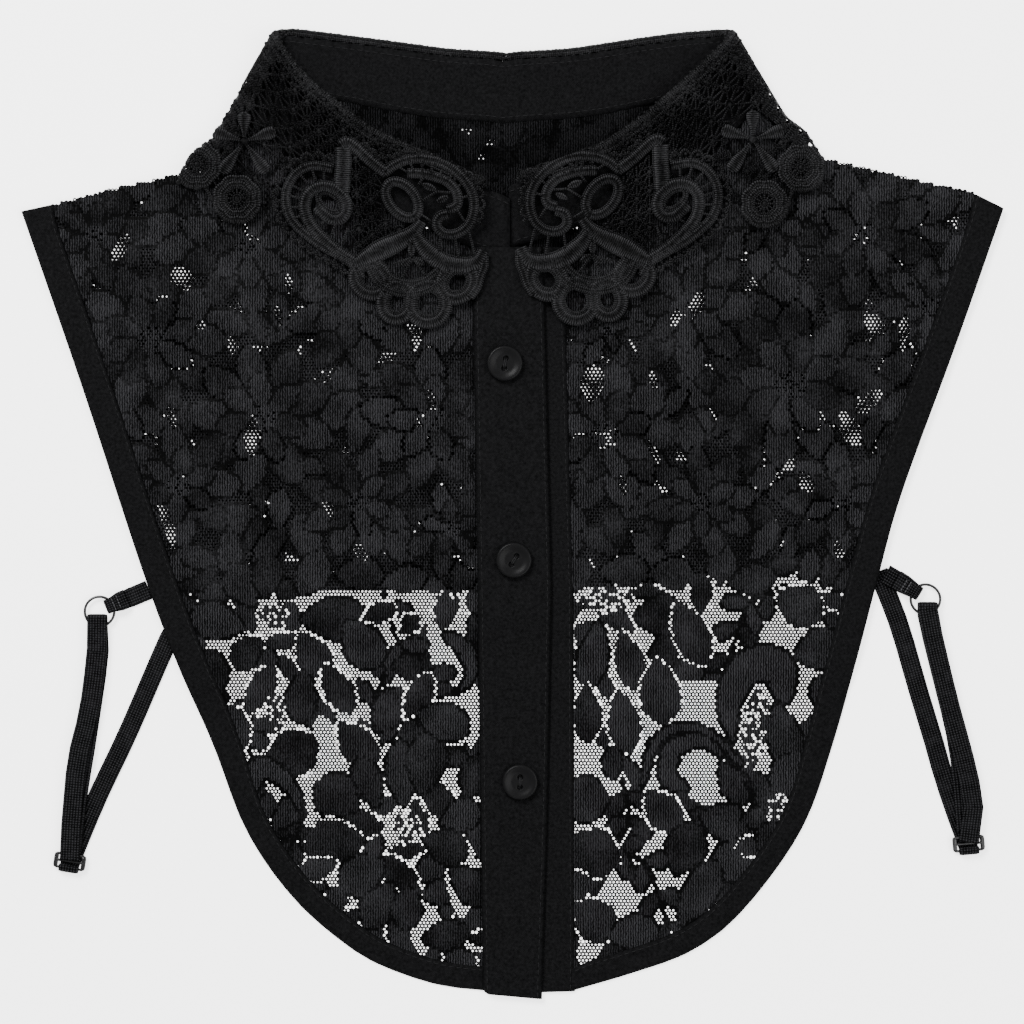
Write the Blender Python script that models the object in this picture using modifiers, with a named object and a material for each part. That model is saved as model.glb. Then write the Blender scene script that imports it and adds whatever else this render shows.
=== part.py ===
"""A detachable lace half-shirt collar, laid flat on a surface with its front up.

+X is to the viewer's right, +Y runs from the hem to the collar and +Z up from the surface.
The origin is on the surface, under the middle of the piece. Left and right are the viewer's.
Tables and sizes are in millimetres, and MM turns them into metres when a mesh is made.
"""

import math

import bmesh
import bpy
import numpy as np
from mathutils import Vector
from mathutils.geometry import delaunay_2d_cdt

MM = 0.001

# Cloth thicknesses, and the gap that keeps two pieces apart at a seam.
LACE = 1.1
BINDING = 1.4
BAND = 1.2
STAND = 1.0
LEAF = 1.3
WEBBING = 0.9
SEAM = 0.3

# How far the upper layers are lifted by what lies under them.
OVER_BACK = 1.8
OVER_LEAF = 1.6
OVER_BAND = BAND + SEAM

# Widths.
ARMHOLE_BINDING_WIDTH = 10.5
HEM_BINDING_WIDTH = 8.7
BACK_BINDING_WIDTH = 10.0
STAND_HEIGHT = 22.0
STRAP_WIDTH = 7.0

# The collar leaf turns over the stand in a half circle, and folds round each side of the neck.
ROLL_RADIUS = 1.8
ROLL_FLAT = 1.0
ROLL_LENGTH = math.pi * ROLL_RADIUS + ROLL_FLAT
ROLL_LIFT = 4.7
ROLL_REACH = 30.0
FOLD_RADIUS_AT_ROLL = 4.8
FOLD_RADIUS_AT_EDGE = 0.9
LEAF_CLEARANCE = 0.8
# Near the fold's lower end the leaf stands out beyond the straight fold line.
FLARE = 3.2
FLARE_REACH = 20.0
FLARE_LENGTH = 11.0
# Where the leaf's edge crosses the fold, down from its start, clear of the shoulder seam.
FOLD_CUT = {"left": 54.5, "right": 46.0}
# The mesh of the leaf is made with the fold and the roll drawn out by these.
FOLD_DRAWN = 16.0
ROLL_DRAWN = 5.0

BUTTON_RADIUS = 6.5
BUTTON_HOLE_RADIUS = 0.95
RING_RADIUS = 5.3
RING_WIRE = 0.5
WIRE_HEIGHT = 1.75

# The hem of the back, which the fronts step down from.       x, y
BACK_HEM = ((-134.0, -27.0), (-11.0, -27.6), (14.0, -27.4), (66.8, -24.1), (74.0, -22.5),
            (100.0, -18.4), (134.0, -18.7))
# The outer edge of the leaf where it lies under the back.     x, y
BACK_LEAF_EDGE = ((-160.0, 150.0), (-136.0, 131.0), (-116.0, 121.0), (-85.0, 115.0),
                  (-45.0, 113.0), (-2.7, 114.5), (40.0, 115.0), (80.0, 120.0), (106.0, 127.0),
                  (126.0, 138.0), (150.0, 160.0))
# Soft swells in the fronts.       x, y, angle in degrees, length, width, height
SWELLS = ((-112.0, 78.0, -35.0, 92.0, 30.0, 1.5),
          (-62.0, 48.0, -62.0, 96.0, 30.0, 1.1),
          (-100.0, -5.0, 65.0, 84.0, 30.0, 1.2),
          (-66.0, -82.0, 48.0, 92.0, 34.0, 1.3),
          (112.0, 82.0, 32.0, 88.0, 30.0, 1.5),
          (64.0, 40.0, 66.0, 100.0, 32.0, 1.2),
          (98.0, 2.0, -62.0, 76.0, 30.0, 1.0),
          (70.0, -86.0, -50.0, 94.0, 34.0, 1.3))

# The outer edge of each front, from the shoulder tip to the button band.    x, y
FRONT_EDGE = {
    "left": ((-176.4, 108.3), (-154.3, 44.3), (-133.0, -20.5), (-120.5, -54.0), (-107.8, -83.2),
             (-95.6, -114.6), (-78.2, -139.3), (-57.6, -157.0), (-43.4, -164.4),
             (-26.3, -169.9), (-12.0, -171.6)),
    "right": ((176.4, 109.4), (159.7, 61.6), (140.2, 8.3), (131.9, -21.0), (124.6, -49.0),
              (115.3, -83.0), (103.9, -114.1), (83.0, -142.9), (65.0, -157.3), (44.8, -165.0),
              (23.2, -171.4)),
}
# The shoulder seam, from the tip to where it goes under the leaf.
SHOULDER = {
    "left": ((-176.4, 108.3), (-162.9, 111.2), (-141.3, 117.0), (-119.7, 121.4), (-114.0, 121.6),
             (-108.5, 122.6)),
    "right": ((176.4, 109.4), (164.3, 115.4), (144.2, 119.9), (117.9, 125.8), (109.8, 127.8),
              (103.5, 129.4)),
}
# The outer edge of each of the back's armholes, from the shoulder to the hem.
BACK_EDGE = {
    "left": ((-172.6, 106.6), (-150.6, 40.0), (-128.8, -27.0)),
    "right": ((172.6, 109.0), (151.8, 44.0), (130.5, -18.7)),
}
# Where the side fold of the leaf starts and ends.
FOLD = {
    "left": ((-85.0, 173.0), (-114.3, 123.3)),
    "right": ((78.8, 173.0), (104.4, 131.6)),
}
# Where the leaf begins to fall, in the plan, on the front and on the back half.
FRONT_ROLL = {
    "left": ((-80.6, 161.5), (-73.1, 152.9), (-60.4, 142.8), (-50.9, 135.5), (-34.8, 128.4),
             (-23.1, 123.0), (-13.7, 119.0), (-2.9, 115.6)),
    "right": ((76.6, 166.3), (61.9, 152.9), (47.9, 140.4), (32.0, 129.9), (15.6, 123.6),
              (0.8, 119.7), (-2.3, 118.6)),
}
BACK_ROLL = {
    "left": ((-77.0, 172.2), (-51.7, 169.0), (-23.6, 165.2), (-2.7, 163.9)),
    "right": ((74.0, 172.0), (61.7, 171.2), (48.4, 169.4), (21.4, 165.3), (-2.1, 163.9)),
}
BACK_MIDDLE = {"left": -2.95, "right": -2.45}

# The guipure motif at each front point of the leaf: its middle, its turn and its side.
MOTIF = {"left": (-45.5, 98.5, 4.0, 1.0), "right": (38.0, 99.5, -4.0, -1.0)}
# The edge of the leaf's front point, round the motif's middle.   across, up
MOTIF_EDGE = ((36.6, 20.6), (38.6, 14.0), (39.0, 6.0), (37.6, -4.0), (34.4, -13.0))
# Lobes of the shell at the foot of the motif.   angle in degrees, reach, hole length, hole width
SHELL_MIDDLE = (9.0, -9.0)
SHELL_LOBES = ((-26.0, 23.0, 6.6, 4.6), (-57.0, 23.0, 7.6, 5.4), (-90.0, 23.0, 7.8, 5.6),
               (-123.0, 22.5, 7.4, 5.2), (-156.0, 22.0, 6.2, 4.4))
# Openings of the motif.   across, up, length, width, angle in degrees
MOTIF_OPENINGS = ((11.5, 14.5, 9.6, 6.2, 78.0), (-23.0, 9.5, 7.4, 4.4, -40.0),
                  (-16.4, 2.2, 11.0, 4.4, -48.0), (25.5, 16.0, 9.0, 4.6, -32.0),
                  (27.5, 5.0, 6.4, 4.2, 20.0), (5.0, -8.0, 5.4, 4.2, 40.0),
                  (13.0, -8.4, 5.4, 4.2, -40.0), (-5.0, 17.5, 8.0, 4.4, 62.0),
                  (22.5, -7.5, 7.6, 4.2, 16.0), (-2.5, 6.5, 5.2, 4.6, 0.0),
                  (-8.5, -9.5, 6.0, 4.4, -30.0), (-35.0, 17.5, 5.0, 4.2, 90.0))
# Flowers of the leaf, on the front and on the back half.   half, x, y, radius
FLOWERS = {
    "left": (("front", -96.0, 133.0, 10.0), ("back", -66.0, 133.0, 10.0),
             ("back", -24.0, 131.0, 10.0)),
    "right": (("front", 86.0, 133.6, 10.0), ("back", 62.0, 134.0, 10.0),
              ("back", 20.0, 131.0, 10.0)),
}
FLOWER_GAPS = 5
# Round wheels along the edge of the leaf.   half, x, y, radius
WHEELS = {
    "left": (("front", -98.6, 112.6, 8.6), ("front", -112.9, 124.9, 8.6),
             ("back", -88.0, 124.0, 8.2), ("back", -45.0, 121.5, 8.2), ("back", -3.0, 121.0, 8.2)),
    "right": (("front", 90.2, 110.9, 8.4), ("front", 103.2, 123.6, 8.3),
              ("back", 84.0, 127.0, 8.2), ("back", 41.0, 122.0, 8.2)),
}

# Where the corner wheel's edge meets the fold, in degrees round its middle.
EDGE_END = {"left": -139.0, "right": -205.0}

# Edges of the button bands, from the neck to the hem.    y, left, right
TOP_BAND = ((91.4, -14.8, 10.8), (75.0, -14.2, 11.7), (-27.0, -12.5, 14.2), (-110.0, -11.5, 12.6),
            (-172.0, -10.6, 10.6))
UNDER_BAND = ((91.4, -4.0, 18.6), (-27.0, -3.0, 22.0), (-171.6, -2.0, 22.5))
TOP_BAND_FOOT = (-169.9, -174.6)
FRONT_INNER_EDGE = -9.0
BUTTONS = ((-2.7, 53.6, 80.0), (0.5, -16.9, 58.0), (2.7, -96.5, 88.0))

# Straps: the plan of each stretch, with the height of its middle.    x, y, z
LOW = WEBBING / 2
HIGH = 2 * WIRE_HEIGHT - LOW
CROSSING = LOW + WEBBING + SEAM
STRAP_FRONT = {
    "left": ((-119.6, -38.0, LOW), (-124.1, -46.2, LOW), (-138.2, -78.7, LOW),
             (-148.5, -100.4, LOW), (-156.0, -118.0, LOW), (-158.4, -124.6, LOW)),
    "right": ((131.6, -21.0, LOW), (134.7, -28.6, LOW), (139.6, -41.7, LOW),
              (145.7, -62.8, LOW), (151.8, -83.0, LOW), (155.4, -95.7, LOW),
              (161.2, -112.6, LOW), (163.4, -117.4, LOW)),
}
STRAP_TOP = {
    "left": ((-159.2, -121.2, HIGH), (-158.0, -106.0, HIGH), (-156.2, -88.2, HIGH),
             (-152.1, -70.9, HIGH), (-149.6, -52.0, HIGH), (-148.8, -39.5, HIGH)),
    "right": ((165.2, -114.6, HIGH), (165.4, -103.6, HIGH), (162.2, -88.2, HIGH),
              (156.7, -68.0, HIGH), (151.7, -47.4, HIGH), (149.0, -35.4, HIGH)),
}
STRAP_UNDER = {
    "left": ((-148.6, -40.5, LOW), (-148.9, -52.0, LOW), (-150.8, -66.0, LOW),
             (-153.4, -84.0, CROSSING), (-156.6, -104.0, CROSSING), (-158.2, -121.0, CROSSING)),
    "right": ((149.2, -36.6, LOW), (151.6, -47.4, LOW), (154.8, -60.0, LOW),
              (159.4, -80.0, CROSSING), (162.0, -98.0, CROSSING), (163.2, -114.2, CROSSING)),
}
TAB = {
    "left": ((-130.8, -27.6, LOW), (-137.0, -30.2, LOW), (-144.2, -33.2, LOW)),
    "right": ((134.0, -21.8, CROSSING), (139.8, -25.2, CROSSING), (144.4, -28.2, LOW)),
}
TAB_RETURN = {"left": 6.5, "right": 8.5}
RING_MIDDLE = {"left": (-148.4, -35.4), "right": (148.4, -31.0)}
SLIDER = {"left": (-159.1, -125.2, -9.0), "right": (163.9, -118.8, 5.0)}
SLIDER_SIZE = (11.6, 5.8)
SLIDER_WINDOW = (8.2, 1.5)


# ---------------------------------------------------------------- curves and heights


def ease(value):
    """A smooth step from 0 to 1."""
    value = np.clip(value, 0.0, 1.0)
    return value * value * (3.0 - 2.0 * value)


def along(rows, key, column):
    """A table's column at the given values of its first column."""
    table = np.array(sorted(rows))
    return np.interp(key, table[:, 0], table[:, column])


def back_height(x, y):
    """Height of the back's underside: on the surface, and lifted where the leaf lies under it."""
    return OVER_LEAF * ease((y - along(BACK_LEAF_EDGE, x, 1) + 16.0) / 11.5)


def front_height(x, y):
    """Height of the fronts' underside: over the back, then down to the surface below its hem."""
    near_armhole = ease((np.abs(x) - 70.0) / 45.0)
    step = along(BACK_HEM, x, 1) - 4.0 - 26.0 * near_armhole
    height = OVER_BACK * ease((y - step + 22.0) / 22.0) + back_height(x, y)
    for middle_x, middle_y, angle, length, width, rise in SWELLS:
        turn = math.radians(angle)
        lengthways = (x - middle_x) * math.cos(turn) + (y - middle_y) * math.sin(turn)
        across = (y - middle_y) * math.cos(turn) - (x - middle_x) * math.sin(turn)
        ridge = ease(1.0 - np.abs(lengthways) * 2.0 / length)
        height = height + rise * ridge * ease(1.0 - np.abs(across) * 2.0 / width)
    return height


def smooth_path(points, spacing):
    """A Catmull-Rom curve through the points, read at about equal steps."""
    points = np.array(points, float)
    ends = np.vstack([2 * points[0] - points[1], points, 2 * points[-1] - points[-2]])
    steps = np.linspace(0.0, 1.0, 16, endpoint=False)[:, None]
    runs = []
    for i in range(len(points) - 1):
        a, b, c, d = ends[i : i + 4]
        runs.append(0.5 * (2 * b + (c - a) * steps + (2 * a - 5 * b + 4 * c - d) * steps**2
                           + (3 * b - a - 3 * c + d) * steps**3))
    curve = np.vstack(runs + [points[-1:]])
    length = np.concatenate([[0.0], np.cumsum(np.linalg.norm(np.diff(curve, axis=0), axis=1))])
    count = max(2, int(round(length[-1] / spacing)) + 1)
    wanted = np.linspace(0.0, length[-1], count)
    return np.column_stack([np.interp(wanted, length, column) for column in curve.T])


def side_step(path, distance):
    """The path moved sideways: to its left for a positive distance, seen from above."""
    direction = np.gradient(path[:, :2], axis=0)
    direction /= np.linalg.norm(direction, axis=1)[:, None]
    normal = np.column_stack([-direction[:, 1], direction[:, 0]])
    return path[:, :2] + normal * np.asarray(distance).reshape(-1, 1)


def point_on(polyline, distance):
    """The point at a distance from the start of a polyline."""
    points = np.array(polyline, float)
    length = np.concatenate([[0.0], np.cumsum(np.linalg.norm(np.diff(points, axis=0), axis=1))])
    return np.array([np.interp(distance, length, column) for column in points.T])


# ---------------------------------------------------------------- the fold of the collar


class CollarSide:
    """One half of the collar, as a flat pattern that folds round the side of the neck.

    g is the distance from the side fold: positive on the front half, negative on the back half.
    w is the distance below the line where the leaf begins to fall. Negative w is the roll, and
    then the stand under it.
    """

    def __init__(self, side):
        self.side = side
        start, end = (np.array(point) for point in FOLD[side])
        self.start = start
        self.down = (end - start) / np.linalg.norm(end - start)
        turn = 1.0 if side == "left" else -1.0
        self.inward = turn * np.array([-self.down[1], self.down[0]])
        rows = [self.flat("front", x, y) for x, y in FRONT_ROLL[side]]
        rows += [self.flat("back", x, y) for x, y in BACK_ROLL[side]]
        self.roll = np.array(sorted(rows))

    def flare(self, inside, down):
        """How far the plan moves out near the lower end of the fold."""
        near_end = ease((down - FOLD_CUT[self.side]) / FLARE_LENGTH + 1.0)
        return FLARE * near_end * (1.0 - ease(inside / FLARE_REACH))

    def frame(self, x, y):
        """Distance inside the fold line, and distance down along it."""
        dx = np.asarray(x) - self.start[0]
        dy = np.asarray(y) - self.start[1]
        down = dx * self.down[0] + dy * self.down[1]
        straight = dx * self.inward[0] + dy * self.inward[1]
        inside = straight
        for _ in range(6):
            inside = straight + self.flare(inside, down)
        return inside, down

    def flat(self, half, x, y, w=0.0):
        """A plan point of either half as (g, distance down)."""
        inside, down = self.frame(x, y)
        back = (2.0 - math.pi) * self.radius(w) - inside
        return (inside if half == "front" else back), down

    def roll_line(self, g):
        """Where the leaf begins to fall, rounded where the fold crosses it."""
        offsets = np.linspace(-4.0, 4.0, 9)
        return sum(np.interp(g + step, self.roll[:, 0], self.roll[:, 1]) for step in offsets) / 9

    def pattern(self, half, x, y):
        """A plan point of either half as (g, w)."""
        w = 0.0
        for _ in range(3):
            g, down = self.flat(half, np.asarray(x), np.asarray(y), w)
            w = down - self.roll_line(g)
        return g, w

    def radius(self, w):
        """The side fold is tighter at the edge of the leaf than at the roll."""
        step = FOLD_RADIUS_AT_ROLL - FOLD_RADIUS_AT_EDGE
        return FOLD_RADIUS_AT_ROLL - step * ease(w / ROLL_REACH)

    def turn(self, g, w=0.0):
        """The angle of the side fold: 0 on the front half, pi on the back half."""
        radius = self.radius(w)
        return np.clip((radius - g) / radius, 0.0, math.pi)

    def inside(self, g, w=0.0):
        """Distance inside the fold line in the plan."""
        radius = self.radius(w)
        back = (2.0 - math.pi) * radius - g
        folded = radius * (1.0 - np.sin(self.turn(g, w)))
        return np.where(g > radius, g, np.where(g < (1.0 - math.pi) * radius, back, folded))

    def plan(self, inside, down):
        """The plan point at a distance inside the fold line and a distance down along it."""
        inside = inside - self.flare(inside, down)
        return (self.start[0] + inside * self.inward[0] + down * self.down[0],
                self.start[1] + inside * self.inward[1] + down * self.down[1])

    def drawn(self, points, undo=False):
        """Pattern points with the fold and the roll drawn out, so that they get short steps."""
        g, w = points.T
        if undo:
            w = np.where(w < 0.0, w / ROLL_DRAWN, w)
        radius = self.radius(w)
        before, after = (FOLD_DRAWN, radius) if undo else (radius, FOLD_DRAWN)
        bent = np.clip(g, (1.0 - math.pi) * before, before)
        g = bent * after / before + g - bent
        return np.column_stack([g, w if undo else np.where(w < 0.0, w * ROLL_DRAWN, w)])

    def front_level(self, x, y, w):
        """Height of the middle of the leaf on the front half."""
        fall = 0.5 * (1.0 + np.cos(math.pi * np.clip(w / ROLL_REACH, 0.0, 1.0)))
        over_bands = OVER_BAND * ease((27.0 - np.abs(x - 2.0)) / 8.0)
        resting = front_height(x, y) + LACE + LEAF_CLEARANCE + LEAF / 2
        return resting + over_bands * (1.0 - fall) + ROLL_LIFT * fall

    def leaf(self, g, w):
        """The middle surface of the leaf as x, y, z."""
        turn = self.turn(g, w)
        rolled = np.clip(-w, 0.0, math.pi * ROLL_RADIUS) / ROLL_RADIUS
        beyond = np.clip(-w - math.pi * ROLL_RADIUS, 0.0, None)
        down = self.roll_line(g) + np.clip(w, 0.0, None)
        front = self.front_level(*self.plan(self.inside(g, w), down), w)
        z = (front + LEAF / 2) / 2 + (front - LEAF / 2) / 2 * np.cos(turn)
        towards_stand = ROLL_RADIUS * (1.0 - np.cos(rolled))
        inside = self.inside(g, w) + towards_stand * np.sin(turn)
        x, y = self.plan(inside, down - ROLL_RADIUS * np.sin(rolled) + beyond)
        return np.stack([x, y, z - towards_stand * np.cos(turn)], axis=-1)

    def stand(self, g, v):
        """The middle surface of the stand, v below its top edge."""
        top = self.leaf(g, np.full_like(g, -ROLL_LENGTH - 2.5 * SEAM))
        straight = ease((np.abs(self.inside(g)) - 25.0) / 50.0)[:, None]
        direction = (1.0 - straight) * self.down + straight * np.array([0.0, -1.0])
        direction /= np.linalg.norm(direction, axis=1)[:, None]
        plan = top[:, :2] + direction * v
        foot = top[:, :2] + direction * STAND_HEIGHT
        front = front_height(foot[:, 0], foot[:, 1]) + 0.6
        back = OVER_LEAF + 0.6
        foot_z = (front + back) / 2 + (front - back) / 2 * np.cos(self.turn(g))
        z = top[:, 2] + (foot_z - top[:, 2]) * v / STAND_HEIGHT
        return np.column_stack([plan, z])

    def ends(self):
        """g at the centre front and at the centre back."""
        return float(self.roll[-1, 0]), float(self.roll[0, 0])

    def stations(self, spacing):
        """Values of g from the centre front to the centre back, close together in the fold."""
        front, back = self.ends()
        fold_end = (1.0 - math.pi) * FOLD_RADIUS_AT_ROLL
        return np.concatenate([
            np.linspace(front, FOLD_RADIUS_AT_ROLL, int((front - FOLD_RADIUS_AT_ROLL) / spacing) + 1),
            np.linspace(FOLD_RADIUS_AT_ROLL, fold_end, 9)[1:-1],
            np.linspace(fold_end, back, int((fold_end - back) / spacing) + 1),
        ])

    def neck_edge(self, half):
        """The plan of the panel's neck edge, just below the stand, from the centre to the fold."""
        g = self.stations(6.0)
        near_fold = FOLD_RADIUS_AT_ROLL + 0.8
        if half == "front":
            g = np.append(g[g > near_fold + 1.5], near_fold)
        else:
            near_fold = (1.0 - math.pi) * FOLD_RADIUS_AT_ROLL - 0.8
            g = np.append(g[g < near_fold - 1.5][::-1], near_fold)
        return self.stand(g, STAND_HEIGHT + SEAM + 0.1)[:, :2]


# ---------------------------------------------------------------- mesh helpers


def material(name, colour, roughness, metallic=0.0):
    made = bpy.data.materials.new(name)
    made.use_nodes = True
    shader = made.node_tree.nodes["Principled BSDF"]
    shader.inputs["Base Color"].default_value = (*colour, 1.0)
    shader.inputs["Roughness"].default_value = roughness
    shader.inputs["Metallic"].default_value = metallic
    return made


def new_object(name, mesh, finish, collection):
    made = bpy.data.objects.new(name, mesh)
    mesh.materials.append(finish)
    collection.objects.link(made)
    return made


def mesh_from(name, points, faces):
    mesh = bpy.data.meshes.new(name)
    mesh.from_pydata([tuple(point) for point in np.asarray(points) * MM], [], faces)
    mesh.update()
    return mesh


def inside_loop(points, loop):
    """Which plan points lie inside a closed loop."""
    x, y = points[:, 0], points[:, 1]
    result = np.zeros(len(points), bool)
    for (ax, ay), (bx, by) in zip(loop, np.roll(loop, -1, axis=0)):
        crosses = (ay > y) != (by > y)
        with np.errstate(divide="ignore", invalid="ignore"):
            result ^= crosses & (x < (bx - ax) * (y - ay) / (by - ay) + ax)
    return result


def far_from(points, loops, distance):
    """Which plan points keep a distance from every edge of the loops."""
    keep = np.ones(len(points), bool)
    for loop in loops:
        for start, end in zip(loop, np.roll(loop, -1, axis=0)):
            edge = end - start
            share = np.clip((points - start) @ edge / max(edge @ edge, 1e-9), 0.0, 1.0)
            keep &= np.linalg.norm(points - start - share[:, None] * edge, axis=1) > distance
    return keep


def grid_points(xs, ys):
    return np.column_stack([axis.ravel() for axis in np.meshgrid(xs, ys)])


def triangulated(outline, holes, inner, clearance):
    """Plan points and triangles of an outline less its holes, with inner points for the bends."""
    loops = [np.asarray(outline, float)] + [np.asarray(hole, float) for hole in holes]
    keep = inside_loop(inner, loops[0]) & far_from(inner, loops, clearance)
    for hole in loops[1:]:
        keep &= ~inside_loop(inner, hole)
    points = np.vstack(loops + [inner[keep]])
    edges, first = [], 0
    for loop in loops:
        edges += [(first + i, first + (i + 1) % len(loop)) for i in range(len(loop))]
        first += len(loop)
    result = delaunay_2d_cdt([Vector(point) for point in points], edges, [], 0, 1e-5)
    plan = np.array([tuple(vertex) for vertex in result[0]])
    faces = np.array([face for face in result[2]])
    middles = plan[faces].mean(axis=1)
    a, b = plan[faces[:, 1]] - plan[faces[:, 0]], plan[faces[:, 2]] - plan[faces[:, 0]]
    # Slivers between points of one straight edge are left out.
    wanted = inside_loop(middles, loops[0]) & (np.abs(a[:, 0] * b[:, 1] - a[:, 1] * b[:, 0]) > 0.02)
    for hole in loops[1:]:
        wanted &= ~inside_loop(middles, hole)
    return plan, faces[wanted]


def divided(loop, longest):
    """A closed loop whose long edges are cut into equal steps."""
    points = []
    for start, end in zip(loop, np.roll(loop, -1, axis=0)):
        steps = max(1, math.ceil(np.linalg.norm(end - start) / longest))
        points += [start + (end - start) * i / steps for i in range(steps)]
    return np.array(points)


def sheet(name, plan, faces, surface, thickness, offset, finish, collection):
    """A sheet of cloth on a surface: offset 1 grows it upwards, 0 to both sides."""
    mesh = mesh_from(name, surface, [tuple(int(i) for i in face) for face in faces])
    made = new_object(name, mesh, finish, collection)
    work = bmesh.new()
    work.from_mesh(mesh)
    loose = [vertex for vertex in work.verts if not vertex.link_faces]
    bmesh.ops.delete(work, geom=loose, context="VERTS")
    bmesh.ops.recalc_face_normals(work, faces=work.faces)
    if max(work.faces, key=lambda face: face.calc_area()).normal.z * plan < 0:
        bmesh.ops.reverse_faces(work, faces=work.faces)
    work.to_mesh(mesh)
    work.free()
    wall = made.modifiers.new("thickness", "SOLIDIFY")
    wall.thickness = thickness * MM
    wall.offset = offset
    return made


def flat_sheet(name, outline, height, thickness, spacing, finish, collection):
    """A panel whose underside follows a height over the plan."""
    outline = np.asarray(outline, float)
    low, high = outline.min(axis=0), outline.max(axis=0)
    inner = grid_points(np.arange(low[0], high[0], spacing), np.arange(low[1], high[1], spacing))
    plan, faces = triangulated(outline, [], inner, spacing * 0.35)
    surface = np.column_stack([plan, height(plan[:, 0], plan[:, 1])])
    return sheet(name, 1.0, faces, surface, thickness, 1.0, finish, collection)


def loft(name, sections, finish, collection):
    """A closed solid through sections that all have the same number of points."""
    sections = np.asarray(sections)
    count, size = sections.shape[:2]
    faces = []
    for i in range(count - 1):
        for j in range(size):
            k = (j + 1) % size
            faces.append((i * size + j, i * size + k, (i + 1) * size + k, (i + 1) * size + j))
    faces.append(tuple(range(size))[::-1])
    faces.append(tuple((count - 1) * size + j for j in range(size)))
    mesh = mesh_from(name, sections.reshape(-1, 3), faces)
    work = bmesh.new()
    work.from_mesh(mesh)
    bmesh.ops.triangulate(work, faces=work.faces)
    bmesh.ops.recalc_face_normals(work, faces=work.faces)
    work.to_mesh(mesh)
    work.free()
    return new_object(name, mesh, finish, collection)


def ellipse(x, y, length, width, angle, count=10):
    turn = math.radians(angle)
    steps = np.linspace(0.0, 2.0 * math.pi, count, endpoint=False)
    a = np.cos(steps) * length / 2
    b = np.sin(steps) * width / 2
    return np.column_stack([x + a * math.cos(turn) - b * math.sin(turn),
                            y + a * math.sin(turn) + b * math.cos(turn)])


# ---------------------------------------------------------------- lace panels and bindings


def front_curve(side):
    """The outer edge of a front, and the width of its binding along it."""
    path = smooth_path(FRONT_EDGE[side], 8.0)
    hem = ease((-60.0 - path[:, 1]) / 60.0)
    return path, ARMHOLE_BINDING_WIDTH + (HEM_BINDING_WIDTH - ARMHOLE_BINDING_WIDTH) * hem


def binding_edge(side, path, width, shoulder_step):
    """The inner edge of a binding. Its first point is on the shoulder seam."""
    edge = side_step(path, width if side == "left" else -width)
    edge[0] = point_on(SHOULDER[side], shoulder_step)
    edge[-1][0] = path[-1][0]
    return edge


def shoulder_line(side, collar, half):
    """The shoulder edge of a panel, from the binding to the neck edge, kept inside the fold."""
    first = point_on(SHOULDER[side], 12.2 if half == "front" else 15.6)
    middle = [np.array(point) for point in SHOULDER[side][1:] if abs(point[0]) < abs(first[0]) - 2]
    neck = collar.neck_edge(half)[-1]
    inside, down = collar.frame(*neck)
    risers = [np.array(collar.plan(inside, value)) for value in np.linspace(50.0, down, 4)[:-1]]
    return [first] + middle + [point for point in risers if point[1] > middle[-1][1] + 2.0]


def front_panel(side, collar, finish, collection):
    path, width = front_curve(side)
    edge = binding_edge(side, path, width + SEAM, 12.2)
    ys = np.linspace(edge[-1][1], 92.0, 30)
    inner_x = FRONT_INNER_EDGE if side == "left" else along(UNDER_BAND, ys, 2) + SEAM
    inner = np.column_stack([np.broadcast_to(inner_x, ys.shape), ys])
    outward = -1.0 if side == "left" else 1.0
    keep = (edge[:, 0] - inner[0, 0]) * outward > 1.0
    neck = collar.neck_edge("front")
    neck = neck[(neck[:, 0] - inner[-1, 0]) * outward > 1.0]
    outline = np.vstack([edge[keep], inner, neck, shoulder_line(side, collar, "front")[::-1]])
    return flat_sheet("front_" + side, outline[:-1], front_height, LACE, 11.0, finish, collection)


def back_panel(collars, finish, collection):
    edges = {}
    for side in ("left", "right"):
        path = smooth_path(BACK_EDGE[side], 12.0)
        width = BACK_BINDING_WIDTH + SEAM
        edge = side_step(path, width if side == "left" else -width)
        edge[0] = point_on(SHOULDER[side], 15.6)
        edges[side] = edge
    hem = [(x, float(along(BACK_HEM, x, 1))) for x in np.linspace(-116.0, 117.0, 25)]
    edges["left"][-1] = (edges["left"][-1][0], hem[0][1])
    edges["right"][-1] = (edges["right"][-1][0], hem[-1][1])
    outline = np.vstack([
        edges["left"], hem[0:], edges["right"][::-1],
        shoulder_line("right", collars["right"], "back")[1:],
        collars["right"].neck_edge("back")[::-1], collars["left"].neck_edge("back"),
        shoulder_line("left", collars["left"], "back")[:0:-1],
    ])
    return flat_sheet("back_panel", outline, back_height, LACE, 12.0, finish, collection)


def ribbon(name, outer, inner, height, finish, collection):
    """A bound edge between two curves: a flat strip whose outer edge is rounded."""
    profile = ((0.0, 0.3), (0.07, 0.0), (1.0, 0.0), (1.0, 1.0), (0.5, 1.08), (0.07, 1.0), (0.0, 0.7))
    sections = []
    for share, rise in profile:
        plan = outer + (inner - outer) * share
        z = height(plan[:, 0], plan[:, 1]) + rise * BINDING
        sections.append(np.column_stack([plan, z]))
    return loft(name, np.stack(sections, axis=1), finish, collection)


def bindings(finish, collection):
    for side in ("left", "right"):
        path, width = front_curve(side)
        inner = binding_edge(side, path, width, 11.8)
        ribbon("binding_front_" + side, path, inner, front_height, finish, collection)
        path = smooth_path(BACK_EDGE[side], 12.0)
        inner = side_step(path, BACK_BINDING_WIDTH if side == "left" else -BACK_BINDING_WIDTH)
        inner[0] = point_on(SHOULDER[side], 15.2)
        inner[-1][1] = path[-1][1]
        ribbon("binding_back_" + side, path, inner, back_height, finish, collection)


# ---------------------------------------------------------------- collar


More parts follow.
